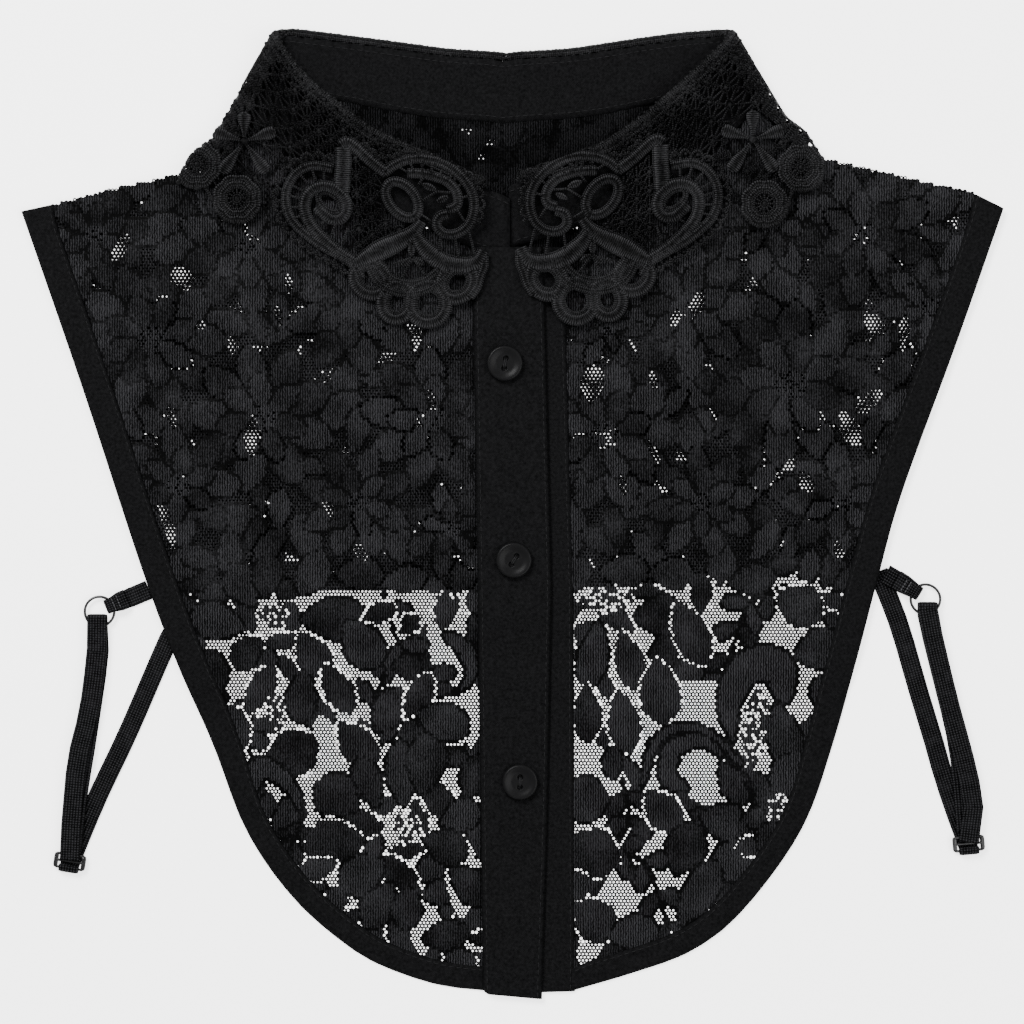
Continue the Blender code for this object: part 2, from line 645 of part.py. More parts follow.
def collar_stand(collars, finish, collection):
    """One band from the centre front, round the neck and back to the centre front."""
    left = collars["left"].stations(9.0)
    right = collars["right"].stations(9.0)[::-1][1:]
    rows = np.linspace(0.0, STAND_HEIGHT, 4)
    grids = [np.concatenate([collars["left"].stand(left, v), collars["right"].stand(right, v)])
             for v in rows]
    points = np.stack(grids, axis=1)
    count, size = points.shape[:2]
    faces = [(i * size + j, (i + 1) * size + j, (i + 1) * size + j + 1, i * size + j + 1)
             for i in range(count - 1) for j in range(size - 1)]
    mesh = mesh_from("collar_stand", points.reshape(-1, 3), faces)
    made = new_object("collar_stand", mesh, finish, collection)
    wall = made.modifiers.new("thickness", "SOLIDIFY")
    wall.thickness = STAND * MM
    wall.offset = 0.0
    return made


def motif_point(side, across, up):
    """A point of the front motif in the plan."""
    x, y, angle, hand = MOTIF[side]
    turn = math.radians(angle)
    a, b = across * hand, up
    return (x + a * math.cos(turn) - b * math.sin(turn), y + a * math.sin(turn) + b * math.cos(turn))


def arc(middle, radius, start, end, count):
    angles = np.radians(np.linspace(start, end, count))
    return np.column_stack([middle[0] + radius * np.cos(angles), middle[1] + radius * np.sin(angles)])


def leaf_front_edge(side):
    """The leaf's edge round its front point, from the centre front to the side fold, in the plan."""
    local = [np.array(point) for point in MOTIF_EDGE]
    for angle, reach, _, width in SHELL_LOBES:
        turn = math.radians(angle)
        middle = np.array(SHELL_MIDDLE) + (reach - 6.0) * np.array([math.cos(turn), math.sin(turn)])
        local += list(arc(middle, 6.3, angle + 62.0, angle - 62.0, 5))
    local += [np.array(point) for point in ((-18.5, -15.8), (-27.0, -9.0), (-34.5, -1.0),
                                            (-39.5, 8.0), (-42.0, 14.0))]
    points = [motif_point(side, *point) for point in local]
    hand = MOTIF[side][3]
    for _, x, y, radius in WHEELS[side][:2]:
        start, end = (-30.0, -175.0) if abs(x) < 102.0 else (-72.0, EDGE_END[side])
        points += [tuple(point) for point in arc((x, y), radius, *(
            (start, end) if hand > 0 else (180.0 - start, 180.0 - end)), 7)]
    return points


def leaf_openings(side):
    """Every opening wider than 4 mm, as loops in the plan of their half."""
    loops = []
    turn = MOTIF[side][2]
    hand = MOTIF[side][3]
    rows = list(MOTIF_OPENINGS)
    for angle, reach, length, width in SHELL_LOBES:
        direction = math.radians(angle)
        rows.append((SHELL_MIDDLE[0] + (reach - 6.6) * math.cos(direction),
                     SHELL_MIDDLE[1] + (reach - 6.6) * math.sin(direction), length, width, angle))
    for across, up, length, width, angle in rows:
        x, y = motif_point(side, across, up)
        lean = angle * hand + turn if hand > 0 else 180.0 - angle + turn
        loops.append(("front", ellipse(x, y, length, width, lean)))
    for half, x, y, radius in FLOWERS[side]:
        for i in range(FLOWER_GAPS):
            angle = 90.0 + (i + 0.5) * 360.0 / FLOWER_GAPS
            direction = math.radians(angle)
            gap_x = x + radius * 0.78 * math.cos(direction)
            gap_y = y + radius * 0.78 * math.sin(direction)
            loops.append((half, ellipse(gap_x, gap_y, 4.8, 5.6, angle, 8)))
    return loops


def collar_leaf(side, collar, finish, collection):
    """One half of the openwork leaf, cut at the centre back."""
    front_g, back_g = collar.ends()
    hand = MOTIF[side][3]
    edge = [collar.pattern("front", x, y) for x, y in leaf_front_edge(side)]
    back = [(x, y) for x, y in BACK_LEAF_EDGE if 4.0 < -x * hand < 100.0]
    back = sorted(back, key=lambda point: point[0] * hand)
    for g in (0.3, 1.0 - math.pi):
        edge.append((g * FOLD_RADIUS_AT_EDGE, FOLD_CUT[side] - collar.roll_line(g)))
    middle_x = BACK_MIDDLE[side]
    middle_y = along(BACK_LEAF_EDGE, middle_x, 1)
    edge += [collar.pattern("back", x, y) for x, y in back + [(middle_x, middle_y)]]
    middle = [collar.pattern("back", middle_x, y) for y in np.linspace(middle_y + 8.0, 158.0, 5)]
    for w in np.linspace(0.0, -ROLL_LENGTH, 6):
        g = middle[-1][0]
        for _ in range(8):
            g += (collar.leaf(g, w)[0] - middle_x) / collar.inward[0]
        middle.append((g, w))
    roll = [(g, -ROLL_LENGTH) for g in collar.stations(9.0)[::-1]
            if middle[-1][0] + 2.0 < g < edge[0][0] - 2.0]
    roll.append((edge[0][0], -ROLL_LENGTH))
    outline = np.array([(float(g), float(w)) for g, w in edge + middle + roll])
    holes = [np.column_stack(collar.pattern(half, *loop.T)) for half, loop in leaf_openings(side)]
    holes = [hole for hole in holes if np.abs(hole[:, 0]).min() > 3.0]
    fold_end = (1.0 - math.pi) * FOLD_DRAWN
    gs = np.concatenate([np.arange(back_g - 60.0, fold_end - 3.0, 9.0),
                         np.linspace(fold_end, FOLD_DRAWN, 9),
                         np.arange(FOLD_DRAWN + 8.0, front_g + 30.0, 9.0)])
    ws = np.concatenate([np.linspace(ROLL_FLAT - ROLL_LENGTH, 0.0, 5) * ROLL_DRAWN,
                         np.arange(8.0, 80.0, 9.0)])
    plan, faces = triangulated(divided(collar.drawn(outline), 9.0),
                               [collar.drawn(hole) for hole in holes], grid_points(gs, ws), 1.2)
    plan = collar.drawn(plan, undo=True)
    surface = collar.leaf(plan[:, 0], plan[:, 1])
    return sheet("leaf_" + side, 1.0, faces, surface, LEAF, 0.0, finish, collection)


# ---------------------------------------------------------------- bands and buttons


def band_outline(rows, foot):
    """A button band from the neck to a slanted foot."""
    ys = np.linspace(rows[0][0], rows[-1][0], 34)
    left = np.column_stack([along(rows, ys, 1), ys])
    right = np.column_stack([along(rows, ys, 2), ys])
    left[-1, 1], right[-1, 1] = foot
    return np.vstack([left, right[::-1]])


def button_bands(finish, collection):
    """The under band lies beside the right front, and the top band over it and the left front."""
    under = band_outline(UNDER_BAND, (UNDER_BAND[-1][0], UNDER_BAND[-1][0]))
    flat_sheet("placket_under", under, front_height, BAND, 9.0, finish, collection)
    top = band_outline(TOP_BAND, TOP_BAND_FOOT)
    flat_sheet("placket_top", top, lambda x, y: front_height(x, y) + OVER_BAND, BAND, 9.0,
               finish, collection)


def buttons(finish, collection, cutters):
    """Turned discs with a raised rim and two holes, on the top band."""
    radius = BUTTON_RADIUS
    profile = ((0.0, 1.7), (radius * 0.5, 1.7), (radius * 0.72, 2.1), (radius * 0.84, 2.6),
               (radius * 0.96, 2.4), (radius, 1.7), (radius * 0.94, 0.7), (radius * 0.66, 0.0),
               (0.0, 0.0))
    for number, (x, y, angle) in enumerate(BUTTONS, start=1):
        name = f"button_{number}"
        made = turned(name, profile, finish, collection)
        seat = front_height(np.array([x]), np.array([y]))[0] + OVER_BAND + BAND + SEAM
        made.location = (x * MM, y * MM, seat * MM)
        made.rotation_euler[2] = math.radians(angle)
        for hand in (-1, 1):
            bpy.ops.mesh.primitive_cylinder_add(vertices=12, radius=BUTTON_HOLE_RADIUS * MM,
                                                depth=8.0 * MM)
            cutter = bpy.context.object
            cutter.name = f"{name}_hole_{'a' if hand < 0 else 'b'}"
            turn = math.radians(angle)
            cutter.location = ((x + hand * 1.75 * math.cos(turn)) * MM,
                               (y + hand * 1.75 * math.sin(turn)) * MM, (seat + 1.0) * MM)
            cutter.hide_render = True
            cutter.display_type = "WIRE"
            for owner in list(cutter.users_collection):
                owner.objects.unlink(cutter)
            cutters.objects.link(cutter)
            cut = made.modifiers.new("hole", "BOOLEAN")
            cut.operation = "DIFFERENCE"
            cut.object = cutter


def turned(name, profile, finish, collection):
    """A profile of (radius, height) rows, from the top of the axis out and down, turned round Z."""
    mesh = bpy.data.meshes.new(name)
    mesh.from_pydata([(r * MM, 0.0, z * MM) for r, z in profile],
                     [(i, i + 1) for i in range(len(profile) - 1)], [])
    made = new_object(name, mesh, finish, collection)
    screw = made.modifiers.new("turn", "SCREW")
    screw.steps = screw.render_steps = 24
    screw.use_merge_vertices = True
    screw.merge_threshold = 0.00001
    return made


# ---------------------------------------------------------------- straps, rings and sliders


def webbing(name, path, finish, collection, widths=None):
    """A flat elastic along a path of middle points, level across its width."""
    path = np.array(path)
    path[:, 2] = np.maximum(path[:, 2], LOW)
    ahead = np.gradient(path, axis=0)
    plan = ahead[:, :2].copy()
    # In a turn the plan direction shrinks and flips, so the width keeps the side it came with.
    across = np.column_stack([-plan[:, 1], plan[:, 0]])
    for i in range(len(across)):
        if np.linalg.norm(across[i]) < 0.35 * np.linalg.norm(ahead[i]) or (
                i and across[i] @ across[i - 1] < 0):
            across[i] = across[i - 1] if i and np.linalg.norm(across[i]) < 0.35 * np.linalg.norm(
                ahead[i]) else -across[i]
        across[i] /= np.linalg.norm(across[i])
    across = np.column_stack([across, np.zeros(len(across))])
    ahead /= np.linalg.norm(ahead, axis=1)[:, None]
    up = np.cross(ahead, across)
    up /= np.linalg.norm(up, axis=1)[:, None]
    half = (np.full(len(path), STRAP_WIDTH) if widths is None else widths)[:, None] / 2
    thick = WEBBING / 2
    corners = [path + across * half * a + up * thick * b for a, b in ((-1, -1), (1, -1), (1, 1), (-1, 1))]
    return loft(name, np.stack(corners, axis=1), finish, collection)


def half_turn(tip, direction, count=7):
    """The middle points of a strap that turns back over a wire, from low to high.

    tip is the plan of the turn's outermost middle point, and direction points to it.
    """
    radius = (HIGH - LOW) / 2
    steps = np.linspace(-math.pi / 2, math.pi / 2, count)
    plan = np.asarray(tip) + np.outer(radius * (np.cos(steps) - 1.0), direction)
    return np.column_stack([plan, WIRE_HEIGHT + radius * np.sin(steps)])


def straps(finish, collection):
    for side in ("left", "right"):
        ring = np.array(RING_MIDDLE[side])
        outward = 1.0 if side == "left" else -1.0

        low = smooth_path(STRAP_FRONT[side], 9.0)
        direction = np.array(STRAP_FRONT[side][-1][:2]) - np.array(STRAP_FRONT[side][-2][:2])
        direction /= np.linalg.norm(direction)
        slider = np.array(SLIDER[side][:2])
        tilt = math.radians(SLIDER[side][2])
        below = np.array([math.sin(tilt), -math.cos(tilt)])
        tip = slider + below * (SLIDER_SIZE[1] / 2 + SEAM + WEBBING / 2)
        turn = half_turn(tip, below)
        low = low[np.linalg.norm(low[:, :2] - turn[0, :2], axis=1) > 5.0]
        upper = turn[-1] - np.array([*below, 0.0]) * 1.2
        lead = turn[0] - np.array([*below, 0.0]) * 1.2
        path = np.vstack([low, [lead], turn, [upper]])
        webbing(f"strap_{side}_front", path, finish, collection)

        top = smooth_path(STRAP_TOP[side], 9.0)
        start = upper - np.array([*below, 0.0]) * 1.6
        top = top[np.linalg.norm(top[:, :2] - start[:2], axis=1) > 4.0]
        fold_tip = ring + np.array([-0.8 * outward, -1.25])
        turn = half_turn(fold_tip, np.array([0.0, 1.0]))[::-1]
        lead = np.array([[0.0, 1.2, 0.0]])
        top = top[top[:, 1] < turn[0, 1] - 3.0]
        under = smooth_path(STRAP_UNDER[side], 9.0)
        under = under[under[:, 1] < turn[-1, 1] - 3.0]
        path = np.vstack([[start], top, turn[:1] - lead, turn, turn[-1:] - lead, under])
        webbing(f"strap_{side}_loop", path, finish, collection)

        root = smooth_path(TAB[side], 6.0)
        direction = root[-1, :2] - root[0, :2]
        direction /= np.linalg.norm(direction)
        lateral = np.array([-direction[1], direction[0]]) * (-0.5 if side == "left" else 0.5)
        tip = ring - direction * 2.95 + lateral
        turn = half_turn(tip, direction)
        lead = turn[0] - np.append(direction, 0.0)
        root = root[(root[:, :2] - turn[0, :2]) @ direction < -2.5]
        length = TAB_RETURN[side]
        back = [np.append(turn[-1, :2] - direction * length * share, z) for share, z in
                ((0.25, HIGH), (0.6, (HIGH + CROSSING) / 2 + 0.45), (1.0, root[0, 2] + WEBBING + SEAM))]
        path = np.vstack([root, [lead], turn, back])
        near = np.linalg.norm(path[:, :2] - ring, axis=1)
        widths = 5.2 + 1.8 * ease((near - 4.0) / 5.0)
        webbing(f"tab_{side}", path, finish, collection, widths)


def rings(finish, collection):
    for side in ("left", "right"):
        x, y = RING_MIDDLE[side]
        bpy.ops.mesh.primitive_torus_add(major_radius=RING_RADIUS * MM, minor_radius=RING_WIRE * MM,
                                         major_segments=24, minor_segments=6,
                                         location=(x * MM, y * MM, WIRE_HEIGHT * MM))
        move_to(bpy.context.object, "ring_" + side, finish, collection)


def move_to(made, name, finish, collection):
    made.name = name
    made.data.materials.append(finish)
    for owner in list(made.users_collection):
        owner.objects.unlink(made)
    collection.objects.link(made)


def rounded_rectangle(width, height, radius, count=4):
    points = []
    for corner, (sx, sy) in enumerate(((1, 1), (-1, 1), (-1, -1), (1, -1))):
        middle = (sx * (width / 2 - radius), sy * (height / 2 - radius))
        points += list(arc(middle, radius, 90.0 * corner, 90.0 * corner + 90.0, count))
    return np.array(points)


def sliders(finish, collection):
    """A flat frame with two windows for the elastic."""
    for side in ("left", "right"):
        curve = bpy.data.curves.new("slider_" + side, "CURVE")
        curve.dimensions = "2D"
        curve.fill_mode = "BOTH"
        curve.extrude = 0.35 * MM
        curve.bevel_depth = 0.15 * MM
        curve.bevel_resolution = 0
        loops = [rounded_rectangle(SLIDER_SIZE[0] - 0.3, SLIDER_SIZE[1] - 0.3, 1.2)]
        for hand in (-1, 1):
            window = rounded_rectangle(SLIDER_WINDOW[0] + 0.3, SLIDER_WINDOW[1] + 0.3, 0.5, 3)
            loops.append(window + (0.0, hand * 1.3))
        for loop in loops:
            spline = curve.splines.new("POLY")
            spline.points.add(len(loop) - 1)
            spline.use_cyclic_u = True
            flat = np.column_stack([loop * MM, np.zeros(len(loop)), np.ones(len(loop))])
            spline.points.foreach_set("co", flat.ravel())
        made = bpy.data.objects.new("slider_" + side, curve)
        curve.materials.append(finish)
        collection.objects.link(made)
        x, y, angle = SLIDER[side]
        made.location = (x * MM, y * MM, WIRE_HEIGHT * MM)
        made.rotation_euler[2] = math.radians(angle)


# ---------------------------------------------------------------- the whole piece


def build():
    for old in list(bpy.data.objects):
        bpy.data.objects.remove(old)
    parts = bpy.data.collections.new("lace_collar")
    cutters = bpy.data.collections.new("cutters")
    for collection in (parts, cutters):
        bpy.context.scene.collection.children.link(collection)

    lace = material("lace", (0.012, 0.012, 0.014), 0.7)
    woven = material("woven_cotton", (0.009, 0.009, 0.011), 0.85)
    guipure = material("guipure", (0.014, 0.014, 0.016), 0.6)
    elastic = material("elastic", (0.012, 0.012, 0.013), 0.65)
    plastic = material("button_plastic", (0.01, 0.01, 0.012), 0.25)
    metal = material("coated_metal", (0.02, 0.02, 0.022), 0.3, 0.8)

    collars = {side: CollarSide(side) for side in ("left", "right")}
    for side in ("left", "right"):
        front_panel(side, collars[side], lace, parts)
        collar_leaf(side, collars[side], guipure, parts)
    back_panel(collars, lace, parts)
    bindings(woven, parts)
    collar_stand(collars, woven, parts)
    button_bands(woven, parts)
    buttons(plastic, parts, cutters)
    straps(elastic, parts)
    rings(metal, parts)
    sliders(metal, parts)


build()
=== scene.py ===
"""Dresses the lace half-shirt collar: lace, guipure, bindings, bands, elastic and stitching.

Tables and sizes are in millimetres, and MM turns them into metres when a mesh is made. Left and
right are the viewer's, seen from above. The heights and the fold of the collar are the ones that
the solids have, so each piece lies where its solid does.
"""

import math

import bpy
import numpy as np
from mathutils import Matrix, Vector


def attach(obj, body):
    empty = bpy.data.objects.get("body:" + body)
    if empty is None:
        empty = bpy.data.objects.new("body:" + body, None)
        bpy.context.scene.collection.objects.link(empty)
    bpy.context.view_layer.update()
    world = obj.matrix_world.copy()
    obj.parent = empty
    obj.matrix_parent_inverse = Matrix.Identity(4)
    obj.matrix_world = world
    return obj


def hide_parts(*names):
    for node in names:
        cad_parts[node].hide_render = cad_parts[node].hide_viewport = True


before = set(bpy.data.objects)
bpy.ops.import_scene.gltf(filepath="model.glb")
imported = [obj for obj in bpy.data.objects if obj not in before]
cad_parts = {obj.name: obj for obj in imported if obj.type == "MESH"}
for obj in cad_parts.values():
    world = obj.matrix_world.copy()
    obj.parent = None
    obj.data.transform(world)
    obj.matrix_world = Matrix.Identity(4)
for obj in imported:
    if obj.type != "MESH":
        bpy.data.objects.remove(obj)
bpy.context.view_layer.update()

bl_info = {
    "name": "Lace collar dressing",
    "version": (1, 0, 0),
    "blender": (4, 5, 0),
    "location": "3D View > Sidebar > Lace collar",
    "description": "Makes the lace, guipure, bindings, bands, elastic and stitches of a laid collar",
    "category": "Mesh",
}

MM = 0.001
SIDES = ("left", "right")
UP = (0, 0, 1)
WHITE = (1, 1, 1, 1)
FLOOR_REACH = 3  # half the side of the floor, in metres

# Cloth thicknesses, and the gap that keeps two pieces apart at a seam.
LACE = 1.1
BINDING = 1.4
BAND = 1.2
STAND = 1
LEAF = 1.3
WEBBING = 0.9
SEAM = 0.3

# How far the upper layers are lifted by what lies under them.
OVER_BACK = 1.8
OVER_LEAF = 1.6
OVER_BAND = BAND + SEAM

# Widths.
ARMHOLE_BINDING_WIDTH = 10.5
HEM_BINDING_WIDTH = 8.7
BACK_BINDING_WIDTH = 10
LACE_IN_BINDING = 1.5
NECK_IN_STAND = 1.7  # width of the back's neck edge that is sewn into the stand
STAND_HEIGHT = 22
STRAP_WIDTH = 7

# The collar leaf turns over the stand in a half circle, and folds round each side of the neck.
ROLL_RADIUS = 1.8
ROLL_FLAT = 1
ROLL_LENGTH = math.pi * ROLL_RADIUS + ROLL_FLAT
ROLL_LIFT = 4.7
ROLL_REACH = 30
FOLD_RADIUS_AT_ROLL = 4.8
FOLD_RADIUS_AT_EDGE = 0.9
LEAF_CLEARANCE = 0.8
# Near the fold's lower end the leaf stands out beyond the straight fold line.
FLARE = 3.2
FLARE_REACH = 20
FLARE_LENGTH = 11
# Where the leaf's edge crosses the fold, down from its start, clear of the shoulder seam.
FOLD_CUT = {"left": 54.5, "right": 46}

BUTTON_RADIUS = 6.5
BUTTON_HOLE_RADIUS = 0.95
BUTTON_SIDES = 96
# The lower side of a button.   radius, height
BUTTON_FOOT = ((BUTTON_RADIUS * 0.985, 1.2), (BUTTON_RADIUS * 0.93, 0.6), (BUTTON_RADIUS * 0.66, 0), (0.1, 0))
RING_RADIUS = 5.3
RING_WIRE = 0.5
WIRE_HEIGHT = 1.75

# The hem of the back, which the fronts step down from.       x, y
BACK_HEM = ((-134, -27), (-11, -27.6), (14, -27.4), (66.8, -24.1), (74, -22.5), (100, -18.4), (134, -18.7))
# The outer edge of the leaf where it lies under the back.     x, y
BACK_LEAF_EDGE = ((-160, 150), (-136, 131), (-116, 121), (-85, 115), (-45, 113), (-2.7, 114.5), (40, 115),
                  (80, 120), (106, 127), (126, 138), (150, 160))
# Soft swells in the fronts.       x, y, angle in degrees, length, width, height
SWELLS = ((-112, 78, -35, 92, 30, 1.5), (-62, 48, -62, 96, 30, 1.1), (-100, -5, 65, 84, 30, 1.2),
          (-66, -82, 48, 92, 34, 1.3), (112, 82, 32, 88, 30, 1.5), (64, 40, 66, 100, 32, 1.2),
          (98, 2, -62, 76, 30, 1), (70, -86, -50, 94, 34, 1.3))

# The outer edge of each front, from the shoulder tip to the button band.    x, y
FRONT_EDGE = {
    "left": ((-176.4, 108.3), (-154.3, 44.3), (-133, -20.5), (-120.5, -54), (-107.8, -83.2), (-95.6, -114.6),
             (-78.2, -139.3), (-57.6, -157), (-43.4, -164.4), (-26.3, -169.9), (-12, -171.6)),
    "right": ((176.4, 109.4), (159.7, 61.6), (140.2, 8.3), (131.9, -21), (124.6, -49), (115.3, -83),
              (103.9, -114.1), (83, -142.9), (65, -157.3), (44.8, -165), (23.2, -171.4)),
}
# The shoulder seam, from the tip to where it goes under the leaf.
SHOULDER = {
    "left": ((-176.4, 108.3), (-162.9, 111.2), (-141.3, 117), (-119.7, 121.4), (-114, 121.6),
             (-108.5, 122.6)),
    "right": ((176.4, 109.4), (164.3, 115.4), (144.2, 119.9), (117.9, 125.8), (109.8, 127.8), (103.5, 129.4)),
}
# The outer edge of each of the back's armholes, from the shoulder to the hem.
BACK_EDGE = {
    "left": ((-172.6, 106.6), (-150.6, 40), (-128.8, -27)),
    "right": ((172.6, 109), (151.8, 44), (130.5, -18.7)),
}
# Where the side fold of the leaf starts and ends.
FOLD = {"left": ((-85, 173), (-114.3, 123.3)), "right": ((78.8, 173), (104.4, 131.6))}
# Where the leaf begins to fall, in the plan, on the front and on the back half.
FRONT_ROLL = {
    "left": ((-80.6, 161.5), (-73.1, 152.9), (-60.4, 142.8), (-50.9, 135.5), (-34.8, 128.4), (-23.1, 123),
             (-13.7, 119), (-2.9, 115.6)),
    "right": ((76.6, 166.3), (61.9, 152.9), (47.9, 140.4), (32, 129.9), (15.6, 123.6), (0.8, 119.7),
              (-2.3, 118.6)),
}
BACK_ROLL = {
    "left": ((-77, 172.2), (-51.7, 169), (-23.6, 165.2), (-2.7, 163.9)),
    "right": ((74, 172), (61.7, 171.2), (48.4, 169.4), (21.4, 165.3), (-2.1, 163.9)),
}
BACK_MIDDLE = {"left": -2.95, "right": -2.45}

# The guipure motif at each front point of the leaf: its middle, its turn and its side.
MOTIF = {"left": (-45.5, 98.5, 4, 1), "right": (38, 99.5, -4, -1)}
# Flowers of the leaf, on the front and on the back half.   half, x, y, radius
FLOWERS = {
    "left": (("front", -96, 133, 10), ("back", -66, 133, 10), ("back", -24, 131, 10)),
    "right": (("front", 86, 133.6, 10), ("back", 62, 134, 10), ("back", 20, 131, 10)),
}
BLOSSOM_PETALS = 5
# Round wheels along the edge of the leaf.   half, x, y, radius
WHEELS = {
    "left": (("front", -98.6, 112.6, 8.6), ("front", -112.9, 124.9, 8.6), ("back", -88, 124, 8.2),
             ("back", -45, 121.5, 8.2), ("back", -3, 121, 8.2)),
    "right": (("front", 90.2, 110.9, 8.4), ("front", 103.2, 123.6, 8.3), ("back", 84, 127, 8.2),
              ("back", 41, 122, 8.2)),
}

# Where the corner wheel's edge meets the fold, in degrees round its middle.
EDGE_END = {"left": -139, "right": -205}

# Edges of the button bands, from the neck to the hem.    y, left, right
TOP_BAND = ((91.4, -14.8, 10.8), (75, -14.2, 11.7), (-27, -12.5, 14.2), (-110, -11.5, 12.6),
            (-172, -10.6, 10.6))
UNDER_BAND = ((91.4, -4, 18.6), (-27, -3, 22), (-171.6, -2, 22.5))
TOP_BAND_FOOT = (-169.9, -174.6)
BUTTONS = ((-2.7, 53.6, 80), (0.5, -16.9, 58), (2.7, -96.5, 88))

# Straps: the plan of each stretch, with the height of its middle.    x, y, z
STRAP_STEP = 9
TACK = (0.9, 0.25, 0.5, 0.35)  # a bar tack's stitch, gap, width and rise
LOW = WEBBING / 2
HIGH = 2 * WIRE_HEIGHT - LOW
CROSSING = LOW + WEBBING + SEAM
STRAP_FRONT = {
    "left": ((-119.6, -38, LOW), (-124.1, -46.2, LOW), (-138.2, -78.7, LOW), (-148.5, -100.4, LOW),
             (-156, -118, LOW), (-158.4, -124.6, LOW)),
    "right": ((131.6, -21, LOW), (134.7, -28.6, LOW), (139.6, -41.7, LOW), (145.7, -62.8, LOW),
              (151.8, -83, LOW), (155.4, -95.7, LOW), (161.2, -112.6, LOW), (163.4, -117.4, LOW)),
}
STRAP_TOP = {
    "left": ((-159.2, -121.2, HIGH), (-158, -106, HIGH), (-156.2, -88.2, HIGH), (-152.1, -70.9, HIGH),
             (-149.6, -52, HIGH), (-148.8, -39.5, HIGH)),
    "right": ((165.2, -114.6, HIGH), (165.4, -103.6, HIGH), (162.2, -88.2, HIGH), (156.7, -68, HIGH),
              (151.7, -47.4, HIGH), (149, -35.4, HIGH)),
}
STRAP_UNDER = {
    "left": ((-148.6, -40.5, LOW), (-148.9, -52, LOW), (-150.8, -66, LOW), (-153.4, -84, CROSSING),
             (-156.6, -104, CROSSING), (-158.2, -121, CROSSING)),
    "right": ((149.2, -36.6, LOW), (151.6, -47.4, LOW), (154.8, -60, LOW), (159.4, -80, CROSSING),
              (162, -98, CROSSING), (163.2, -114.2, CROSSING)),
}
TAB = {
    "left": ((-130.8, -27.6, LOW), (-137, -30.2, LOW), (-144.2, -33.2, LOW)),
    "right": ((134, -21.8, CROSSING), (139.8, -25.2, CROSSING), (144.4, -28.2, LOW)),
}
TAB_RETURN = {"left": 6.5, "right": 8.5}
RING_MIDDLE = {"left": (-148.4, -35.4), "right": (148.4, -31)}
SLIDER = {"left": (-159.1, -125.2, -9), "right": (163.9, -118.8, 5)}
SLIDER_SIZE = (11.6, 5.8)
SLIDER_WINDOW = (8.2, 1.5)


def ease(value):
    """A smooth step from 0 to 1."""
    value = np.clip(value, 0, 1)
    return value * value * (3 - 2 * value)


def along(rows, key, column=1):
    """A table's column at the given values of its first column."""
    table = np.array(sorted(rows))
    return np.interp(key, table[:, 0], table[:, column])


def unit(vectors):
    """Vectors of length 1 along the last axis."""
    return vectors / np.maximum(np.linalg.norm(vectors, axis=-1, keepdims=True), 1e-9)


def rays(angles):
    """Plan steps of length 1 at angles in radians."""
    return np.stack([np.cos(angles), np.sin(angles)], axis=-1)


def circle(count):
    return rays(np.linspace(0, 2 * math.pi, count, endpoint=False))


def turned(a, b, angle, x=0, y=0):
    """The step (a, b) turned to the left by an angle in degrees, from x and y."""
    turn = math.radians(angle)
    return x + a * math.cos(turn) - b * math.sin(turn), y + a * math.sin(turn) + b * math.cos(turn)


def run_length(path):
    """The distance along a path, or along each of many, at each of its points."""
    steps = np.linalg.norm(np.diff(path, axis=-2), axis=-1)
    return np.concatenate([np.zeros_like(steps[..., :1]), np.cumsum(steps, axis=-1)], axis=-1)


def read_at(wanted, keys, table):
    """Every column of a table at the wanted keys."""
    return np.column_stack([np.interp(wanted, keys, column) for column in np.transpose(table)])


def back_height(x, y):
    """Height of the back's underside: on the surface, and lifted where the leaf lies under it."""
    return OVER_LEAF * ease((y - along(BACK_LEAF_EDGE, x) + 16) / 11.5)


def front_height(x, y):
    """Height of the fronts' underside: over the back, then down to the surface below its hem."""
    near_armhole = ease((np.abs(x) - 70) / 45)
    step = along(BACK_HEM, x) - 4 - 26 * near_armhole
    height = OVER_BACK * ease((y - step + 22) / 22) + back_height(x, y)
    for middle_x, middle_y, angle, length, width, rise in SWELLS:
        lengthways, across = turned(x - middle_x, y - middle_y, -angle)
        ridge = ease(1 - np.abs(lengthways) * 2 / length)
        height = height + rise * ridge * ease(1 - np.abs(across) * 2 / width)
    return height


def smooth_path(points, spacing):
    """A Catmull-Rom curve through the points, read at about equal steps."""
    points = np.array(points, float)
    ends = np.vstack([2 * points[0] - points[1], points, 2 * points[-1] - points[-2]])
    steps = np.linspace(0, 1, 16, endpoint=False)[:, None]
    runs = []
    for i in range(len(points) - 1):
        a, b, c, d = ends[i : i + 4]
        runs.append(0.5 * (2 * b + (c - a) * steps + (2 * a - 5 * b + 4 * c - d) * steps**2
                           + (3 * b - a - 3 * c + d) * steps**3))
    curve = np.vstack(runs + [points[-1:]])
    length = run_length(curve)
    count = max(2, int(round(length[-1] / spacing)) + 1)
    return read_at(np.linspace(0, length[-1], count), length, curve)


def side_step(path, distance):
    """The path moved sideways: to its left for a positive distance, seen from above."""
    direction = unit(np.gradient(path[:, :2], axis=0))
    normal = np.column_stack([-direction[:, 1], direction[:, 0]])
    return path[:, :2] + normal * np.reshape(distance, (-1, 1))


def point_on(polyline, distance):
    """The point at a distance from the start of a polyline."""
    return read_at([distance], run_length(polyline), polyline)[0]


